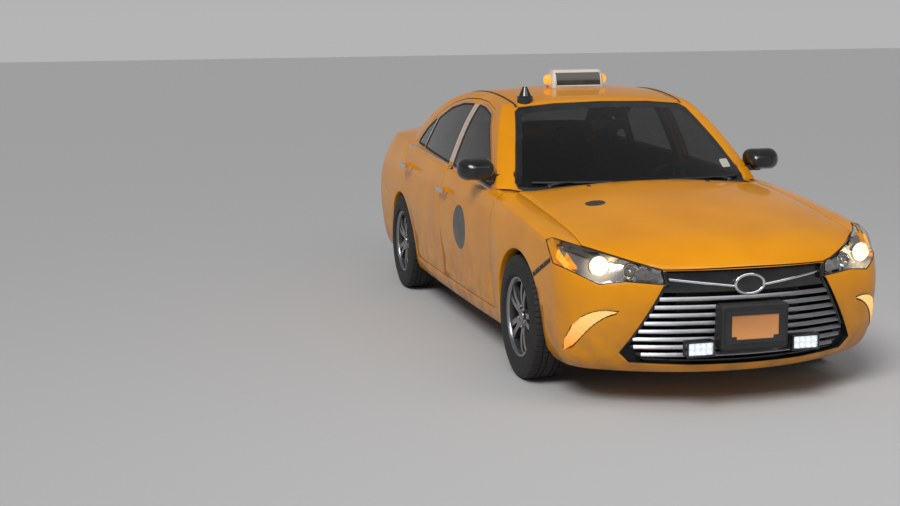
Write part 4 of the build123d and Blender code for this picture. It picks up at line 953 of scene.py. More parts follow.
# Driving pods under the guard: a finned box, a bezel, eight lit cells and a pane
POD_X, POD_Z = (0.204, 0.350), (0.296, 0.375)
CELL_PITCH, FIN_PITCH, FIN_HALF = (0.030, 0.029), 0.015, 0.0015
half_x, half_z = (POD_X[1] - POD_X[0]) / 2, (POD_Z[1] - POD_Z[0]) / 2
pane_x, pane_z = half_x - 0.011, half_z - 0.011
middle_z = sum(POD_Z) / 2
fin_low, fin_high = POD_Z[0] + 0.006, POD_Z[1] - 0.006
face_y = guard_low[1] + 0.008
BEZEL_STOPS = ((0, 0.022), (0, 0), (0.009, 0), (0.012, 0.013))
CELL_BOWL = [(0.0, 0.0143), (-0.002, 0.0125), (-0.006, 0.007), (-0.008, 0.0005)]
CELL = [(-0.008, 0.009), (-0.003, 0.007), (-0.001, 0.0035), (0, 0.0005)]
for side_name, side in SIDES:
    middle_x = side * sum(POD_X) / 2
    low, high = (middle_x - half_x, face_y + 0.014, POD_Z[0]), (middle_x + half_x, face_y + 0.060, POD_Z[1])
    Form().block(low, high).make(f"driving_pod_{side_name}", black_matt, smooth=40, bevel=(0.007, 4))
    rows = []
    for inset, depth in BEZEL_STOPS:
        corners = ((1, 1), (-1, 1), (-1, -1), (1, -1))
        x, z = half_x - inset, half_z - inset
        rows.append([(middle_x + a * x, face_y + depth, middle_z + b * z) for a, b in corners])
    bezel = Form().grid(rows, round_columns=True)
    bezel.make(f"driving_pod_bezel_{side_name}", black_gloss, smooth=30, bevel=(0.003, 3))
    cells, bowls = Form(), Form()
    for column in range(4):
        for row_index in range(2):
            x = middle_x + (column - 1.5) * CELL_PITCH[0]
            z = middle_z + (row_index - 0.5) * CELL_PITCH[1]
            bowls.lathe(CELL_BOWL, (x, face_y + 0.004, z), (0, -1, 0), 16)
            cells.lathe(CELL, (x, face_y + 0.006, z), (0, -1, 0), 14)
    back_y = face_y + 0.0085
    bowls.grid([[(middle_x + a * pane_x, back_y, middle_z + b * pane_z) for b in (-1, 1)] for a in (-1, 1)])
    bowls.make(f"driving_pod_bowls_{side_name}", pod_dim, smooth=60)
    cells.make(f"driving_pod_cells_{side_name}", pod_lit, smooth=60)
    low = (middle_x - pane_x, face_y + 0.0015, middle_z - pane_z)
    high = (middle_x + pane_x, face_y + 0.0040, middle_z + pane_z)
    Form().block(low, high).make(f"driving_pod_glass_{side_name}", clear_lens, smooth=30)
    fins = Form()
    for k in range(9):
        x = middle_x + (k - 4) * FIN_PITCH
        fins.block((x - FIN_HALF, face_y + 0.050, fin_low), (x + FIN_HALF, face_y + 0.075, fin_high))
    fins.make(f"driving_pod_fins_{side_name}", black_matt, smooth=30)
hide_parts("headlamps")
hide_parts("auxiliary_lamps")


# Tail lamps: red skins over a ribbed bowl
TAIL_RIBS, TAIL_RIB_X, TAIL_RIB_DEPTH = (0.835, 0.885, 0.935), (0.585, 0.80), 0.020
tail_tree = tree_of("tail_lamps")
for side_name, side in SIDES:
    outward = Vector((side * 0.60, 0.78, 0.15))
    lamp_shell(f"tail_lamp_{side_name}", "tail_lamps", side, outward, 0.040, red_lens, reflector)
    ribs = Form()
    for z in TAIL_RIBS:
        hits = met(from_rear(tail_tree, side * x, z) for x in between(*TAIL_RIB_X, 12))
        ribs.join(strip(raised(hits, -TAIL_RIB_DEPTH), half_round(0.010, 0.005)))
    ribs.make(f"tail_lamp_ribs_{side_name}", reflector)
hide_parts("tail_lamps")


# Roof light: pale frames round dark blank panels, amber ends
sign_low, sign_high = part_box("roof_light")
sign_tree = tree_of("roof_light")
SIGN_HALF, SIGN_FOOT, SIGN_HEAD, SIGN_MIDDLE = 0.152, 1.452, 1.562, 1.516
SIGN_END = [(-0.030, 0.0312), (0.0, 0.0314), (0.012, 0.029), (0.0195, 0.022), (0.0225, 0.010), (0.0228, 0.0006)]
for name, cast in (("front", from_front), ("rear", from_rear)):
    rows = cast_rows(cast, sign_tree, between(-SIGN_HALF, SIGN_HALF, 14), between(SIGN_FOOT, SIGN_HEAD, 10))
    sheet_over(rows, 0.0015, 0.0005).make(f"roof_light_panel_{name}", sign_panel)
    edge = rows[0] + [row[-1] for row in rows[1:-1]] + rows[-1][::-1] + [row[0] for row in rows[-2:0:-1]]
    form = strip(edge, flat_section(0.009, 0.0045), closed=True)
    form.make(f"roof_light_frame_{name}", sign_housing)
caps = Form()
end_x = max(abs(sign_low[0]), sign_high[0]) - 0.021
for side in (1, -1):
    caps.lathe(SIGN_END, (side * end_x, (sign_low[1] + sign_high[1]) / 2, SIGN_MIDDLE), (side, 0, 0), 32)
caps.make("roof_light_ends", amber_lit, smooth=60)


# Wheels: grooved tyres, rim lips, caps, nuts, discs and calipers; profiles as (across, radius)
AXLES = {"front": -1.440, "rear": 1.336}
WHEEL_X, WHEEL_Z = 0.7925, 0.334
SIDEWALL = (
    (0.0900, 0.2168), (0.0975, 0.2235), (0.1035, 0.2300), (0.1068, 0.2345), (0.1072, 0.2400), (0.1058, 0.2450),
    (0.1052, 0.2560), (0.1062, 0.2620), (0.1062, 0.2635), (0.1055, 0.2645), (0.1050, 0.2800), (0.1050, 0.2925),
    (0.1044, 0.2935), (0.1020, 0.3050), (0.1000, 0.3110),
)
SHOULDER_IN = 0.0560
SHOULDER_STOPS = (0.0955, 0.088, 0.080, 0.062)
RIBS = ((-0.048, -0.026), (-0.018, 0.018), (0.026, 0.048))
GROOVE_DEPTH, PITCHES = 0.0068, 66
TREAD_RADIUS, TREAD_HALF, TREAD_DROP = 0.3338, 0.07, 0.0018
SHOULDER_FROM, SHOULDER_WIDTH, SHOULDER_DROP = 0.076, 0.020, 0.006
SHOULDER_CUT, RIB_CUT, GROOVE_SLANT = 0.0055, 0.0030, 0.35
PITCH_STOPS = (0.0, 0.10, 0.16, 0.55, 0.61)
LIP = [
    (0.0795, 0.1985), (0.0905, 0.2030), (0.0935, 0.2075), (0.0940, 0.2125), (0.0925, 0.2160), (0.088, 0.2172),
]
NOSE_CAP = [
    (0.070, 0.0305), (0.0745, 0.0300), (0.0765, 0.0285), (0.0770, 0.0235), (0.0785, 0.0215), (0.0792, 0.012),
    (0.0795, 0.0004),
]
WELL = [(0.0668, 0.0145), (0.0690, 0.0135), (0.0672, 0.0115), (0.0655, 0.0104)]
NUT = [(0.060, 0.0095), (0.0765, 0.0095), (0.0790, 0.0070), (0.0795, 0.0004)]
NUT_CIRCLE, VALVE_ANGLE = 0.0545, 0.62
CALIPER_FROM, CALIPER_SPAN = 0.25, 0.85
ROTOR = [
    (-0.0005, 0.060), (-0.0005, 0.148), (-0.0025, 0.150), (-0.008, 0.150), (-0.0085, 0.142), (-0.0145, 0.142),
    (-0.015, 0.150), (-0.0205, 0.150), (-0.0225, 0.148), (-0.0225, 0.060),
]
ROTOR_HAT = [(-0.0005, 0.074), (0.010, 0.073), (0.012, 0.070), (0.012, 0.020)]


def crown(across):
    """The tread's radius across its width."""
    shoulder = max(0, (abs(across) - SHOULDER_FROM) / SHOULDER_WIDTH)
    return TREAD_RADIUS - TREAD_DROP * (across / TREAD_HALF) ** 2 - SHOULDER_DROP * shoulder**2


def tyre_section(place):
    """The tyre's section at one place within a tread pitch."""
    shoulder_cut = SHOULDER_CUT if place == PITCH_STOPS[1] else 0.0
    rib_cut = RIB_CUT if place == PITCH_STOPS[3] else 0.0
    outer = [*SIDEWALL] + [(across, crown(across) - shoulder_cut) for across in SHOULDER_STOPS]
    outer += [(SHOULDER_IN, crown(SHOULDER_IN)), (SHOULDER_IN - 0.001, crown(SHOULDER_IN) - GROOVE_DEPTH)]
    middle = []
    for low, high in reversed(RIBS):
        cut = 0.0 if low < 0 < high else rib_cut
        middle.append((high + 0.001, crown(high) - GROOVE_DEPTH))
        middle += [(high, crown(high) - cut), ((low + high) / 2, crown(0) - cut), (low, crown(low) - cut)]
        middle.append((low - 0.001, crown(low) - GROOVE_DEPTH))
    return outer + middle + [(-across, radius) for across, radius in reversed(outer)]


for end in ENDS:
    for side_name, side in SIDES:
        body = f"{end}_wheel_{side_name}"
        origin = Vector((side * WHEEL_X, AXLES[end], WHEEL_Z))
        axis = (side, 0, 0)
        label = f"{end}_{side_name}"

        def on_wheel(across, radius, angle):
            """A place on the wheel, from its middle outwards and about its axle."""
            return origin + Vector((side * across, radius * cos(angle), radius * sin(angle)))

        rows = []
        for pitch_index in range(PITCHES):
            for place in PITCH_STOPS:
                row = []
                for across, radius in tyre_section(place):
                    slant = GROOVE_SLANT * abs(across) / TREAD_HALF if 0.02 < abs(across) < 0.05 else 0.0
                    row.append(on_wheel(across, radius, tau * (pitch_index + place + slant) / PITCHES))
                rows.append(row)
        cover = Form().grid(rows, round_rows=True).make(f"tyre_{label}_tread", tyre_rubber, body, smooth=38)
        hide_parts(f"tyre_{label}")

        Form().lathe(LIP, origin, axis, 96).make(f"rim_lip_{label}", alloy, body, smooth=60)
        Form().lathe(NOSE_CAP, origin, axis, 40).make(f"rim_cap_{label}", alloy, body, smooth=40)
        nuts, wells = Form(), Form()
        for count in range(5):
            centre = on_wheel(0, NUT_CIRCLE, tau * (count + 0.5) / 5 + pi / 2)
            wells.lathe(WELL, centre, axis, 18)
            nuts.lathe(NUT, centre, axis, 6)
        nuts.make(f"rim_nuts_{label}", disc_steel, body, smooth=25, bevel=(0.0006, 2))
        wells.make(f"rim_wells_{label}", alloy_dark, body)
        foot, tip = on_wheel(0.055, 0.196, VALVE_ANGLE), on_wheel(0.081, 0.184, VALVE_ANGLE)
        valve = Form().tube([foot, foot.lerp(tip, 0.6), tip], [0.0045, 0.0038, 0.0042], 10)
        valve.make(f"rim_valve_{label}", gasket, body)
        rotor = Form().lathe(ROTOR, origin, axis, 72).lathe(ROTOR_HAT, origin, axis, 40)
        rotor.make(f"brake_disc_{label}", disc_steel, body, smooth=35)

        carrier, lead = (f"knuckle_{side_name}", 1) if end == "front" else ("body", -1)
        rows = []
        for share in between(0, 1, 12):
            angle = pi / 2 - lead * (CALIPER_FROM + CALIPER_SPAN * share)
            outline = (
                (0.0170, 0.102), (0.0185, 0.110), (0.0185 + 0.004 * sin(pi * share), 0.146), (0.0150, 0.157),
                (-0.0360, 0.157), (-0.0420, 0.150), (-0.0420, 0.104), (-0.0260, 0.102), (-0.0258, 0.1515),
                (0.0030, 0.1515), (0.0032, 0.102),
            )
            rows.append([on_wheel(across, radius, angle) for across, radius in outline])
        caliper = Form().grid(rows, round_columns=True, caps=True)
        caliper.make(f"brake_caliper_{label}", cast_iron, carrier, smooth=40, bevel=(0.0020, 2))


def refine(node, width, segments=2):
    """Rounds the edges of a CAD node's shown surface."""
    nodes[node].modifiers.new("join", "WELD").merge_threshold = 1e-5
    rounding = round_edges(nodes[node], width, segments, 38)
    rounding.harden_normals = rounding.use_clamp_overlap = True


def second_look(node, look, choose):
    """Gives the faces of a CAD node that choose(centre, normal) picks a second look."""
    mesh = nodes[node].data
    mesh.materials.append(look)
    index = len(mesh.materials) - 1
    for face in mesh.polygons:
        if choose(face.center, face.normal):
            face.material_index = index


def off_spoke_face(side):
    """A test for the faces of a rim behind its spokes' bright face."""
    return lambda c, n: n.x * side < 0.5 or (c.x - side * WHEEL_X) * side < 0.02


for end in ENDS:
    for side_name, side in SIDES:
        second_look(f"rim_{end}_{side_name}", alloy_dark, off_spoke_face(side))
        refine(f"rim_{end}_{side_name}", 0.0022)

# Cabin lining: the inward faces of the panels are trimmed
lining = plastic("lining", "dark_plastic", (0.060, 0.055, 0.048), 0.85, 500)
headlining = plastic("headlining", "upholstery", (0.26, 0.245, 0.22), 0.92, 700)
carpet = plastic("carpet", "upholstery", (0.018, 0.017, 0.016), 0.95, 350)
for side_name, side in SIDES:
    for end in ENDS:
        second_look(f"door_{end}_{side_name}", lining, lambda c, n: n.x * side < -0.25)
    second_look(
        f"body_side_{side_name}", lining, lambda c, n: n.x * side < -0.25 and c.z > 0.22 and -1.05 < c.y < 1.75
    )


def grille_mouth(c, n):
    """The faces of the bumper that line the grille's opening."""
    lines_it = n.y > -0.30 and c.y < -2.12 or n.y < -0.95 and abs(c.y + 2.2) < 0.01
    return abs(c.x) < 0.65 and c.z > 0.215 and lines_it


second_look("front_bumper", black_matt, grille_mouth)
second_look("roof_panel", headlining, lambda c, n: n.z < -0.25)
second_look("underbody", carpet, lambda c, n: n.z > 0.3 and abs(c.x) < 0.76 and -1.0 < c.y < 1.4)
second_look("rear_deck", carpet, lambda c, n: n.z > 0.5 and c.y < 1.66)


# Door mirrors: dark shells with a bright glass, and the black corner of the front window as (y, z)
MIRROR_X, MIRROR_FACE_Y, MIRROR_Z = 0.900, -0.632, 1.050
BEZEL_LIFTS = ((1.0, -0.001), (1.0, 0.0016), (0.965, 0.0016), (0.955, 0.0004))
GLASS_LIFTS = ((0.956, 0.0005), (0.5, 0.0005))
SAIL = ((-0.719, 0.962), (-0.612, 0.964), (-0.548, 1.058), (-0.573, 1.058))
(ay, az), (by, bz), (cy, cz), (dy, dz) = SAIL
for side_name, side in SIDES:
    mirror, door = f"mirror_{side_name}", f"door_front_{side_name}"
    body = body_of(mirror)
    nodes[mirror].data.materials.clear()
    nodes[mirror].data.materials.append(black_gloss)
    refine(mirror, 0.004, 3)
    ring = rounded_ring(0.092, 0.049, 0.036, 8)
    x = side * MIRROR_X
    bezel, glass = (
        [[(x + a * k, MIRROR_FACE_Y + lift, MIRROR_Z + b * k) for a, b in ring] for k, lift in lifts]
        for lifts in (BEZEL_LIFTS, GLASS_LIFTS)
    )
    Form().grid(bezel, round_columns=True).make(f"mirror_bezel_{side_name}", black_matt, body, smooth=40)
    face = Form().grid(glass, round_columns=True).lid(len(ring))
    face.make(f"mirror_glass_{side_name}", chrome, body, smooth=30)
    skin = tree_of(door, f"window_front_{side_name}")
    rows = []
    for u in between(0, 1, 12):
        row = []
        for v in between(0, 1, 8):
            y = (ay + (by - ay) * v) * (1 - u) + (dy + (cy - dy) * v) * u
            z = (az + (bz - az) * v) * (1 - u) + (dz + (cz - dz) * v) * u
            row.append(from_side(skin, side, y, z))
        rows.append(row)
    sail = sheet_over(met_rows(rows), 0.003, 0.001)
    sail.make(f"mirror_sail_{side_name}", black_matt, body_of(door))


# Door handles, decal discs and other stickers, all blank
def squared(value, power):
    """A sine or cosine pushed outwards, so that a circle becomes a rounded square."""
    return abs(value) ** power * (1 if value >= 0 else -1)


HANDLES = {"front": (0.058, 0.851), "rear": (1.084, 0.906)}
PULL_X, PULL_HALF = 0.9345, 0.0858
LOCK_BEHIND, LOCK_ABOVE = 0.0965, 0.001
DECAL, DECAL_RADIUS = (-0.312, 0.664), 0.138
LOCK = [(0.0, 0.0079), (0.0020, 0.0075), (0.0028, 0.0060), (0.0022, 0.0024), (0.0011, 0.0004)]
for side_name, side in SIDES:
    for end, (y, z) in HANDLES.items():
        body = f"{end}_door_{side_name}"
        rows = []
        for share in between(0, 1, 24):
            across = -PULL_HALF + 2 * PULL_HALF * share
            fade = max(0.12, min(1.0, (max(0.0, PULL_HALF - abs(across)) / 0.010) ** 0.5))
            ring = []
            for step in range(16):
                out, rise = squared(cos(tau * step / 16), 0.55), squared(sin(tau * step / 16), 0.55)
                x = PULL_X + 0.0079 * out * (0.55 + 0.45 * fade)
                ring.append((side * x, y + across, z + 0.0150 * rise * (0.6 + 0.4 * fade)))
            rows.append(ring)
        pull = Form().grid(rows, round_columns=True, caps=True)
        pull.make(f"door_pull_{end}_{side_name}", chrome, body)
        if end == "front":
            skin = tree_of(f"door_{end}_{side_name}")
            lock = from_side(skin, side, y + LOCK_BEHIND, z + LOCK_ABOVE)
            Form().lathe(LOCK, *lock, 24).make(f"door_lock_{side_name}", chrome, body)
    skin = tree_of(f"door_front_{side_name}")
    disc = disc_over(lambda a, b: from_side(skin, side, a, b), DECAL, DECAL_RADIUS, 0.0006, 0.97)
    disc.make(f"door_decal_{side_name}", decal_dark, f"front_door_{side_name}", smooth=60)


def patch_over(cast, tree, middle, size, corner):
    """A rounded sticker laid on a surface."""
    rows = []
    for v in between(-0.5, 0.5, 9):
        edge = (0.5 - abs(v)) * size[1]
        inset = corner - (corner**2 - (corner - edge) ** 2) ** 0.5 if edge < corner else 0.0
        width = size[0] - 2 * inset
        rows.append([cast(tree, middle[0] + u * width, middle[1] + v * size[1]) for u in between(-0.5, 0.5, 9)])
    return sheet_over(met_rows(rows), 0.0007, 0.0003)


HOOD_STICKER, SCREEN_STICKER = (-0.460, -1.46), (0.612, 1.045)
hood_skin = tree_of("hood")
sticker = patch_over(from_top, hood_skin, HOOD_STICKER, (0.108, 0.100), 0.045)
sticker.make("hood_sticker_blank", decal_dark, "hood")
NOZZLE_X, NOZZLE_Y = 0.36, -1.085
NOZZLE = [(0, 0.013), (0.004, 0.012), (0.007, 0.007), (0.0075, 0.0003)]
nozzles = Form()
for x in (-NOZZLE_X, NOZZLE_X):
    nozzles.lathe(NOZZLE, *from_top(hood_skin, x, NOZZLE_Y), 20)
nozzles.make("washer_nozzles", black_matt, "hood")
sticker = patch_over(from_front, screen, SCREEN_STICKER, (0.068, 0.044), 0.008)
sticker.make("screen_sticker_blank", sticker_pale)


# Roof mouldings, fuel flap, rear plate, tail trim and exhaust tip
GUTTER_X, GUTTER_BOW, GUTTER_Y, GUTTER_HALF = 0.545, 0.020, 0.35, 0.9
GUTTER_ENDS = (-0.46, 1.32)
for side_name, side in SIDES:
    skin = tree_of("roof_panel", f"body_side_{side_name}")
    rail = []
    for y in between(*GUTTER_ENDS, 60):
        rail.append(from_top(skin, side * (GUTTER_X - GUTTER_BOW * ((y - GUTTER_Y) / GUTTER_HALF) ** 2), y))
    strip(rail, half_round(0.013, 0.004)).make(f"roof_moulding_{side_name}", gasket, smooth=60)

FLAP_Y, FLAP_Z = 1.700, 0.842
SEAM_SECTION = [(-0.0013, -0.001), (0.0013, -0.001), (0.0013, 0.0003), (-0.0013, 0.0003)]
quarter = tree_of("body_side_left")
rail = [from_side(quarter, 1, FLAP_Y + a, FLAP_Z + b) for a, b in rounded_ring(0.078, 0.074, 0.026, 6)]
strip(rail, SEAM_SECTION, closed=True).make("fuel_flap_seam", gasket)

REAR_PLATE_Z = 0.835
GARNISH_HALF, GARNISH_Z = 0.40, 0.945
REFLECTOR_X, REFLECTOR_Z = (0.50, 0.66), (0.345, 0.372)
REVERSING_X, REVERSING_Z = (0.565, 0.640), (0.838, 0.872)
BRAKE_LAMP_HALF, BRAKE_LAMP_Z = 0.12, (1.330, 1.338, 1.346)
BOOT_PULL_HALF, BOOT_PULL_Z = 0.085, (0.912, 0.926)
BOLT_X, BOLT_Z = 0.105, 0.885
BOLT = [(0, 0.006), (0.0025, 0.006), (0.0040, 0.003), (0.0042, 0.0003)]
TIP_PLACE = (-0.220, 2.434, 0.158)
TIP = [
    (-0.10, 0.0242), (-0.10, 0.0262), (0.0, 0.0278), (0.006, 0.0275), (0.0065, 0.0255), (0.0, 0.0240),
    (-0.06, 0.0235), (-0.061, 0.001),
]
lid = tree_of("boot_lid")
boot_body = body_of("boot_lid")
plate_place = from_rear(tree_of("boot_lid", "rear_bumper"), 0, REAR_PLATE_Z)[0]
rear_plate = plate("rear_plate_blank", plate_tan, plate_place.y + 0.001, REAR_PLATE_Z, 1)
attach(rear_plate, boot_body)
rail = [from_rear(lid, x, GARNISH_Z) for x in between(-GARNISH_HALF, GARNISH_HALF, 36)]
strip(rail, half_round(0.022, 0.007)).make("boot_garnish", chrome, boot_body, smooth=60)
Form().lathe(TIP, TIP_PLACE, (0, 1, 0), 36).make("exhaust_tip", chrome, smooth=60)
tail_skin = tree_of("rear_bumper")
valance_x, valance_low, valance_high = between(-0.46, 0.46, 31), 0.200, 0.292
valance = cast_rows(from_rear, tail_skin, valance_x, between(valance_low, valance_high, 6))
sheet_over(valance, 0.0012, 0.0004).make("rear_valance", black_matt)
markers, backup = Form(), Form()
for side in (1, -1):
    spans = [side * x for x in between(*REFLECTOR_X, 9)]
    markers.join(sheet_over(cast_rows(from_rear, tail_skin, spans, between(*REFLECTOR_Z, 3)), 0.0025, 0.0005))
    spans = [side * x for x in between(*REVERSING_X, 7)]
    backup.join(sheet_over(cast_rows(from_rear, tail_tree, spans, between(*REVERSING_Z, 5)), 0.0008, 0.001))
markers.make("rear_reflectors", red_lens, smooth=40)
skid = [from_rear(tail_skin, x, valance_high) for x in valance_x]
strip(skid, half_round(0.008, 0.004)).make("rear_valance_edge", black_gloss)
backup.make("reversing_lamps", clear_lens, smooth=40)
handle_y = from_rear(lid, 0, 0.918)[0].y
pull_low = (-BOOT_PULL_HALF, handle_y - 0.004, BOOT_PULL_Z[0])
pull = Form().block(pull_low, (BOOT_PULL_HALF, handle_y + 0.009, BOOT_PULL_Z[1]))
pull.make("boot_pull", black_matt, boot_body, smooth=40, bevel=(0.003, 3))
plate_bolts = Form()
for x in (-BOLT_X, BOLT_X):
    plate_bolts.lathe(BOLT, (x, plate_place.y + 0.0025, BOLT_Z), (0, 1, 0), 16)
plate_bolts.make("rear_plate_bolts", disc_steel, boot_body, smooth=40)
spans = between(-BRAKE_LAMP_HALF, BRAKE_LAMP_HALF, 9)
rows = cast_rows(from_rear, tree_of("rear_window"), spans, BRAKE_LAMP_Z)
lamp_form = sheet_over([raised(row, -0.016) for row in rows], 0.006, 0.006)
lamp_form.make("high_brake_lamp", red_lens)


# Seats: stuffed cushions with channels and piping, replacing the plain ones
CROWN, CHANNEL_DEPTH, PIPING_DEPTH, PIPING_AT = 0.10, 0.055, 0.05, 0.72
SEAT_X, POST_X, POST_RADIUS, RAIL_X, RAIL_HALF = 0.370, 0.05, 0.006, 0.17, 0.018
RAIL_Y, RAIL_Z = 0.24, (0.242, 0.325)


def cushion(name, centre, half_size, tilt, channels=0):
    """A stuffed block: rounded edges, a crowned face and pinched channels across it."""
    steps, rings, power = 56, 28, 0.34
    turn_back = Matrix.Rotation(radians(tilt), 3, "X")
    rows = []
    for i in range(rings + 1):
        v = pi * i / rings - pi / 2
        row = []
        for j in range(steps):
            u = tau * j / steps
            x = squared(cos(v), power) * squared(cos(u), power)
            y = squared(cos(v), power) * squared(sin(u), power)
            z = squared(sin(v), power)
            pinch = 1.0
            if channels:
                channel = abs(cos(pi * channels * (y + 1) / 2)) ** 14 * (1 if abs(x) < PIPING_AT else 0.3)
                pinch -= CHANNEL_DEPTH * channel
                pinch -= PIPING_DEPTH * max(0, 1 - abs(abs(x) - PIPING_AT) / 0.05)
            crowned = (1 + CROWN * (1 - x * x) * (1 - y * y)) * pinch / (1 + CROWN)
            point = Vector((x * half_size[0], y * half_size[1], z * half_size[2] * crowned))
            row.append(turn_back @ point + Vector(centre))
        rows.append(row)
    piece = Form().grid(rows, round_columns=True).make(name, fabric, smooth=60)


for side_name, side in SIDES:
    x = side * SEAT_X
    cushion(f"seat_base_{side_name}", (x, -0.055, 0.398), (0.245, 0.255, 0.092), 3, 4)
    cushion(f"seat_back_{side_name}", (x, 0.335, 0.690), (0.240, 0.270, 0.070), 69, 4)
    cushion(f"seat_head_{side_name}", (x, 0.455, 1.010), (0.128, 0.078, 0.044), 78)
    for k in (-1, 1):
        post_x = x + k * POST_X
        post = Form().tube([(post_x, 0.437, 0.90), (post_x, 0.455, 0.98)], POST_RADIUS, 12)
        post.make(f"seat_post_{side_name}_{'outer' if k == side else 'inner'}", disc_steel, smooth=60)
    rails = Form()
    for k in (-1, 1):
        rail_x = x + k * RAIL_X
        rails.block((rail_x - RAIL_HALF, -RAIL_Y, RAIL_Z[0]), (rail_x + RAIL_HALF, RAIL_Y, RAIL_Z[1]))
    rails.make(f"seat_rails_{side_name}", cast_iron, smooth=30, bevel=(0.003, 2))
cushion("bench_base", (0, 0.930, 0.520), (0.600, 0.260, 0.078), 2, 3)
cushion("bench_back", (0, 1.245, 0.790), (0.560, 0.255, 0.070), 66, 3)
for side_name, side in SIDES:
    cushion(f"bench_head_{side_name}", (side * 0.360, 1.286, 1.050), (0.124, 0.066, 0.038), 74)
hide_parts("seats")


# Dashboard: a padded top with a binnacle, vents, a screen and the steering wheel; its face as (y, z)
dash_body = body_of("dashboard")
DASH_HALF, WHEEL_MIDDLE = 0.735, 0.370
VENTS = ((-0.62, 0.11), (-0.09, 0.10), (0.09, 0.10), (0.62, 0.11))
VENT_Z, VENT_PITCH, VENT_THICK = 0.772, 0.012, 0.004
DASH_FACE = (
    (-0.975, 0.878), (-0.930, 0.893), (-0.850, 0.899), (-0.770, 0.895), (-0.715, 0.880), (-0.690, 0.858),
    (-0.688, 0.840), (-0.705, 0.825), (-0.700, 0.760), (-0.712, 0.700), (-0.745, 0.640), (-0.800, 0.622),
    (-0.975, 0.622),
)
rows = []
for x in between(-DASH_HALF, DASH_HALF, 41):
    binnacle = max(0.0, 1 - ((x - WHEEL_MIDDLE) / 0.19) ** 2) ** 0.5
    edge = max(0.0, (abs(x) - 0.66) / 0.075) ** 2
    bow = 0.035 * (1 - (abs(x) / DASH_HALF) ** 2)
    row = []
    for y, z in DASH_FACE:
        lift = -0.012 * (1 - binnacle) if z > 0.85 and y > -0.90 else 0.0
        row.append((x, y - 0.020 * edge - (bow if y > -0.72 else 0), z + lift - 0.01 * edge))
    rows.append(row)
dash = Form().grid(rows, round_columns=True, caps=True).make("dash_pad", dash_trim, dash_body)
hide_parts("dashboard")
dash_points = [v.co.copy() for v in dash.data.vertices]
dash_tree = BVHTree.FromPolygons(dash_points, [list(p.vertices) for p in dash.data.polygons])
vents = Form()
for x, width in VENTS:
    y = from_rear(dash_tree, x, 0.790)[0].y
    for blade in range(4):
        z = VENT_Z + blade * VENT_PITCH
        vents.block((x - width / 2, y - 0.004, z), (x + width / 2, y + 0.006, z + VENT_THICK))
vents.make("dash_vents", black_matt, dash_body, smooth=30)
y = from_rear(dash_tree, 0, 0.725)[0].y
dash_screen = Form().block((-0.085, y - 0.004, 0.690), (0.085, y + 0.004, 0.752))
dash_screen.make("dash_screen", black_gloss, dash_body, smooth=30, bevel=(0.003, 2))

HUB, WHEEL_RADIUS, GRIP_RADIUS = Vector((WHEEL_MIDDLE, -0.502, 0.860)), 0.174, 0.0135
LEAN = Vector((0, 0.9, 0.42)).normalized()
HUB_PAD = [(-0.030, 0.060), (-0.004, 0.068), (0.004, 0.060), (0.008, 0.030), (0.009, 0.0004)]
across, upward = Vector((1, 0, 0)), LEAN.cross(Vector((1, 0, 0)))
rows = []
for s in range(64):
    place = HUB + across * WHEEL_RADIUS * cos(tau * s / 64) + upward * WHEEL_RADIUS * sin(tau * s / 64)
    out = (place - HUB).normalized() * GRIP_RADIUS
    rows.append([place + out * cos(tau * k / 12) + LEAN * GRIP_RADIUS * sin(tau * k / 12) for k in range(12)])
wheel = Form().grid(rows, round_rows=True, round_columns=True)
for angle in (0.12, pi - 0.12, -pi / 2):
    reach = across * cos(angle) + upward * sin(angle)
    spoke = [HUB - LEAN * 0.018 + reach * 0.03, HUB - LEAN * 0.010 + reach * 0.10, HUB + reach * 0.170]
    wheel.tube(spoke, [0.020, 0.013, 0.010], 10)
wheel.lathe(HUB_PAD, HUB, LEAN, 32).tube([HUB - LEAN * 0.02, HUB - LEAN * 0.20], 0.032, 20)
wheel.make("steering_wheel", dash_trim, dash_body)

head = from_front(screen, 0, 1.300)[0]
inner_mirror = Form().block((-0.115, head.y + 0.075, 1.235), (0.115, head.y + 0.098, 1.300))
inner_mirror.make("inner_mirror", black_matt, smooth=40, bevel=(0.010, 4))
stalk = [head + Vector((0, 0.012, 0.012)), head + Vector((0, 0.045, -0.010)), Vector((0, head.y + 0.08, 1.270))]
Form().tube(stalk, [0.012, 0.008, 0.008], 12).make("inner_mirror_stalk", black_matt)


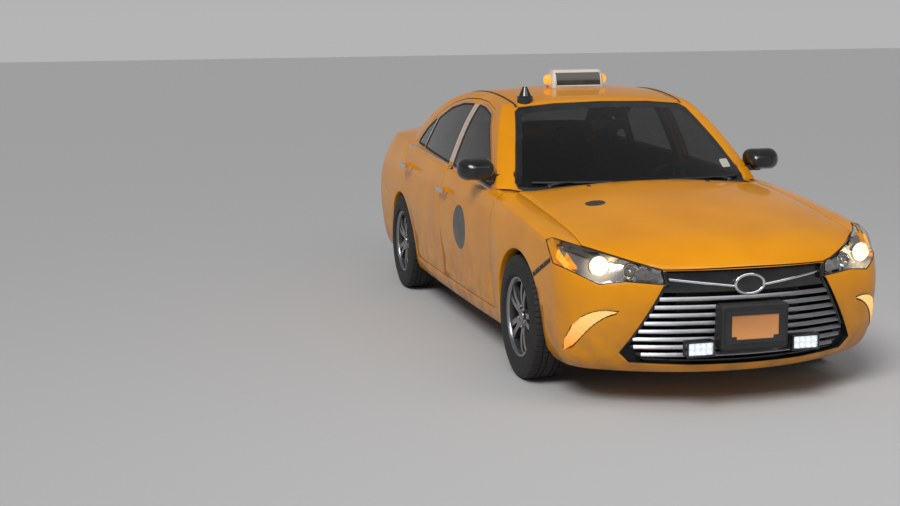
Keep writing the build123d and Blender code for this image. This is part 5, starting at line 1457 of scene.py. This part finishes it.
# Edges of the panels are rolled over, not knife sharp
for name in (
    "hood", "boot_lid", "fenders", "front_bumper", "rear_bumper", "roof_panel", "rear_deck", "front_guard",
):
    refine(name, 0.0022)
for side_name, side in SIDES:
    refine(f"body_side_{side_name}", 0.0018)
    for end in ENDS:
        refine(f"door_{end}_{side_name}", 0.0020)
refine("grille", 0.0020)
refine("roof_light", 0.003, 3)
refine("roof_aerial", 0.003, 3)


# Floor, world and light
FLOOR_HALF = 60.0
corners = [(FLOOR_HALF * a, FLOOR_HALF * b, 0) for a, b in ((-1, -1), (1, -1), (1, 1), (-1, 1))]
floor_form = bpy.data.meshes.new("floor")
floor_form.from_pydata(corners, [], [(0, 1, 2, 3)])
floor = bpy.data.objects.new("floor", floor_form)
scene.collection.objects.link(floor)
floor.data.materials.append(finish("floor", None, (0.50, 0.50, 0.50), 0.9))

world = bpy.data.worlds.new("world")
scene.world = world
world.use_nodes = True
place = add_node(world, "TexCoord")
split = add_node(world, "SeparateXYZ", links={"Vector": place.outputs["Generated"]})
fade = add_node(world, "ValToRGB", links={"Fac": split.outputs["Z"]})
horizon, sky = (0.0, (0.46, 0.46, 0.46)), (0.35, (0.20, 0.20, 0.205))
for stop, (height, colour) in zip(fade.color_ramp.elements, (horizon, sky)):
    stop.position, stop.color = height, (*colour, 1)
background = world.node_tree.nodes["Background"]
world.node_tree.links.new(fade.outputs["Color"], background.inputs["Color"])
background.inputs["Strength"].default_value = 1.0


def lamp(name, kind, energy, place, target, size=None, angle=None):
    data = bpy.data.lights.new(name, kind)
    data.energy = energy
    if size:
        data.shape, data.size, data.size_y = "RECTANGLE", *size
    if angle:
        data.angle = radians(angle)
    made = bpy.data.objects.new(name, data)
    scene.collection.objects.link(made)
    turned = (Vector(target) - Vector(place)).to_track_quat("-Z", "Y").to_matrix().to_4x4()
    made.matrix_world = Matrix.Translation(place) @ turned


lamp("key", "SUN", 2.1, (-4, -5, 7), (0, 0, 0.6), angle=25)
lamp("overhead", "AREA", 110, (0, -4.4, 5.0), (0, -1.2, 0), size=(7, 3))
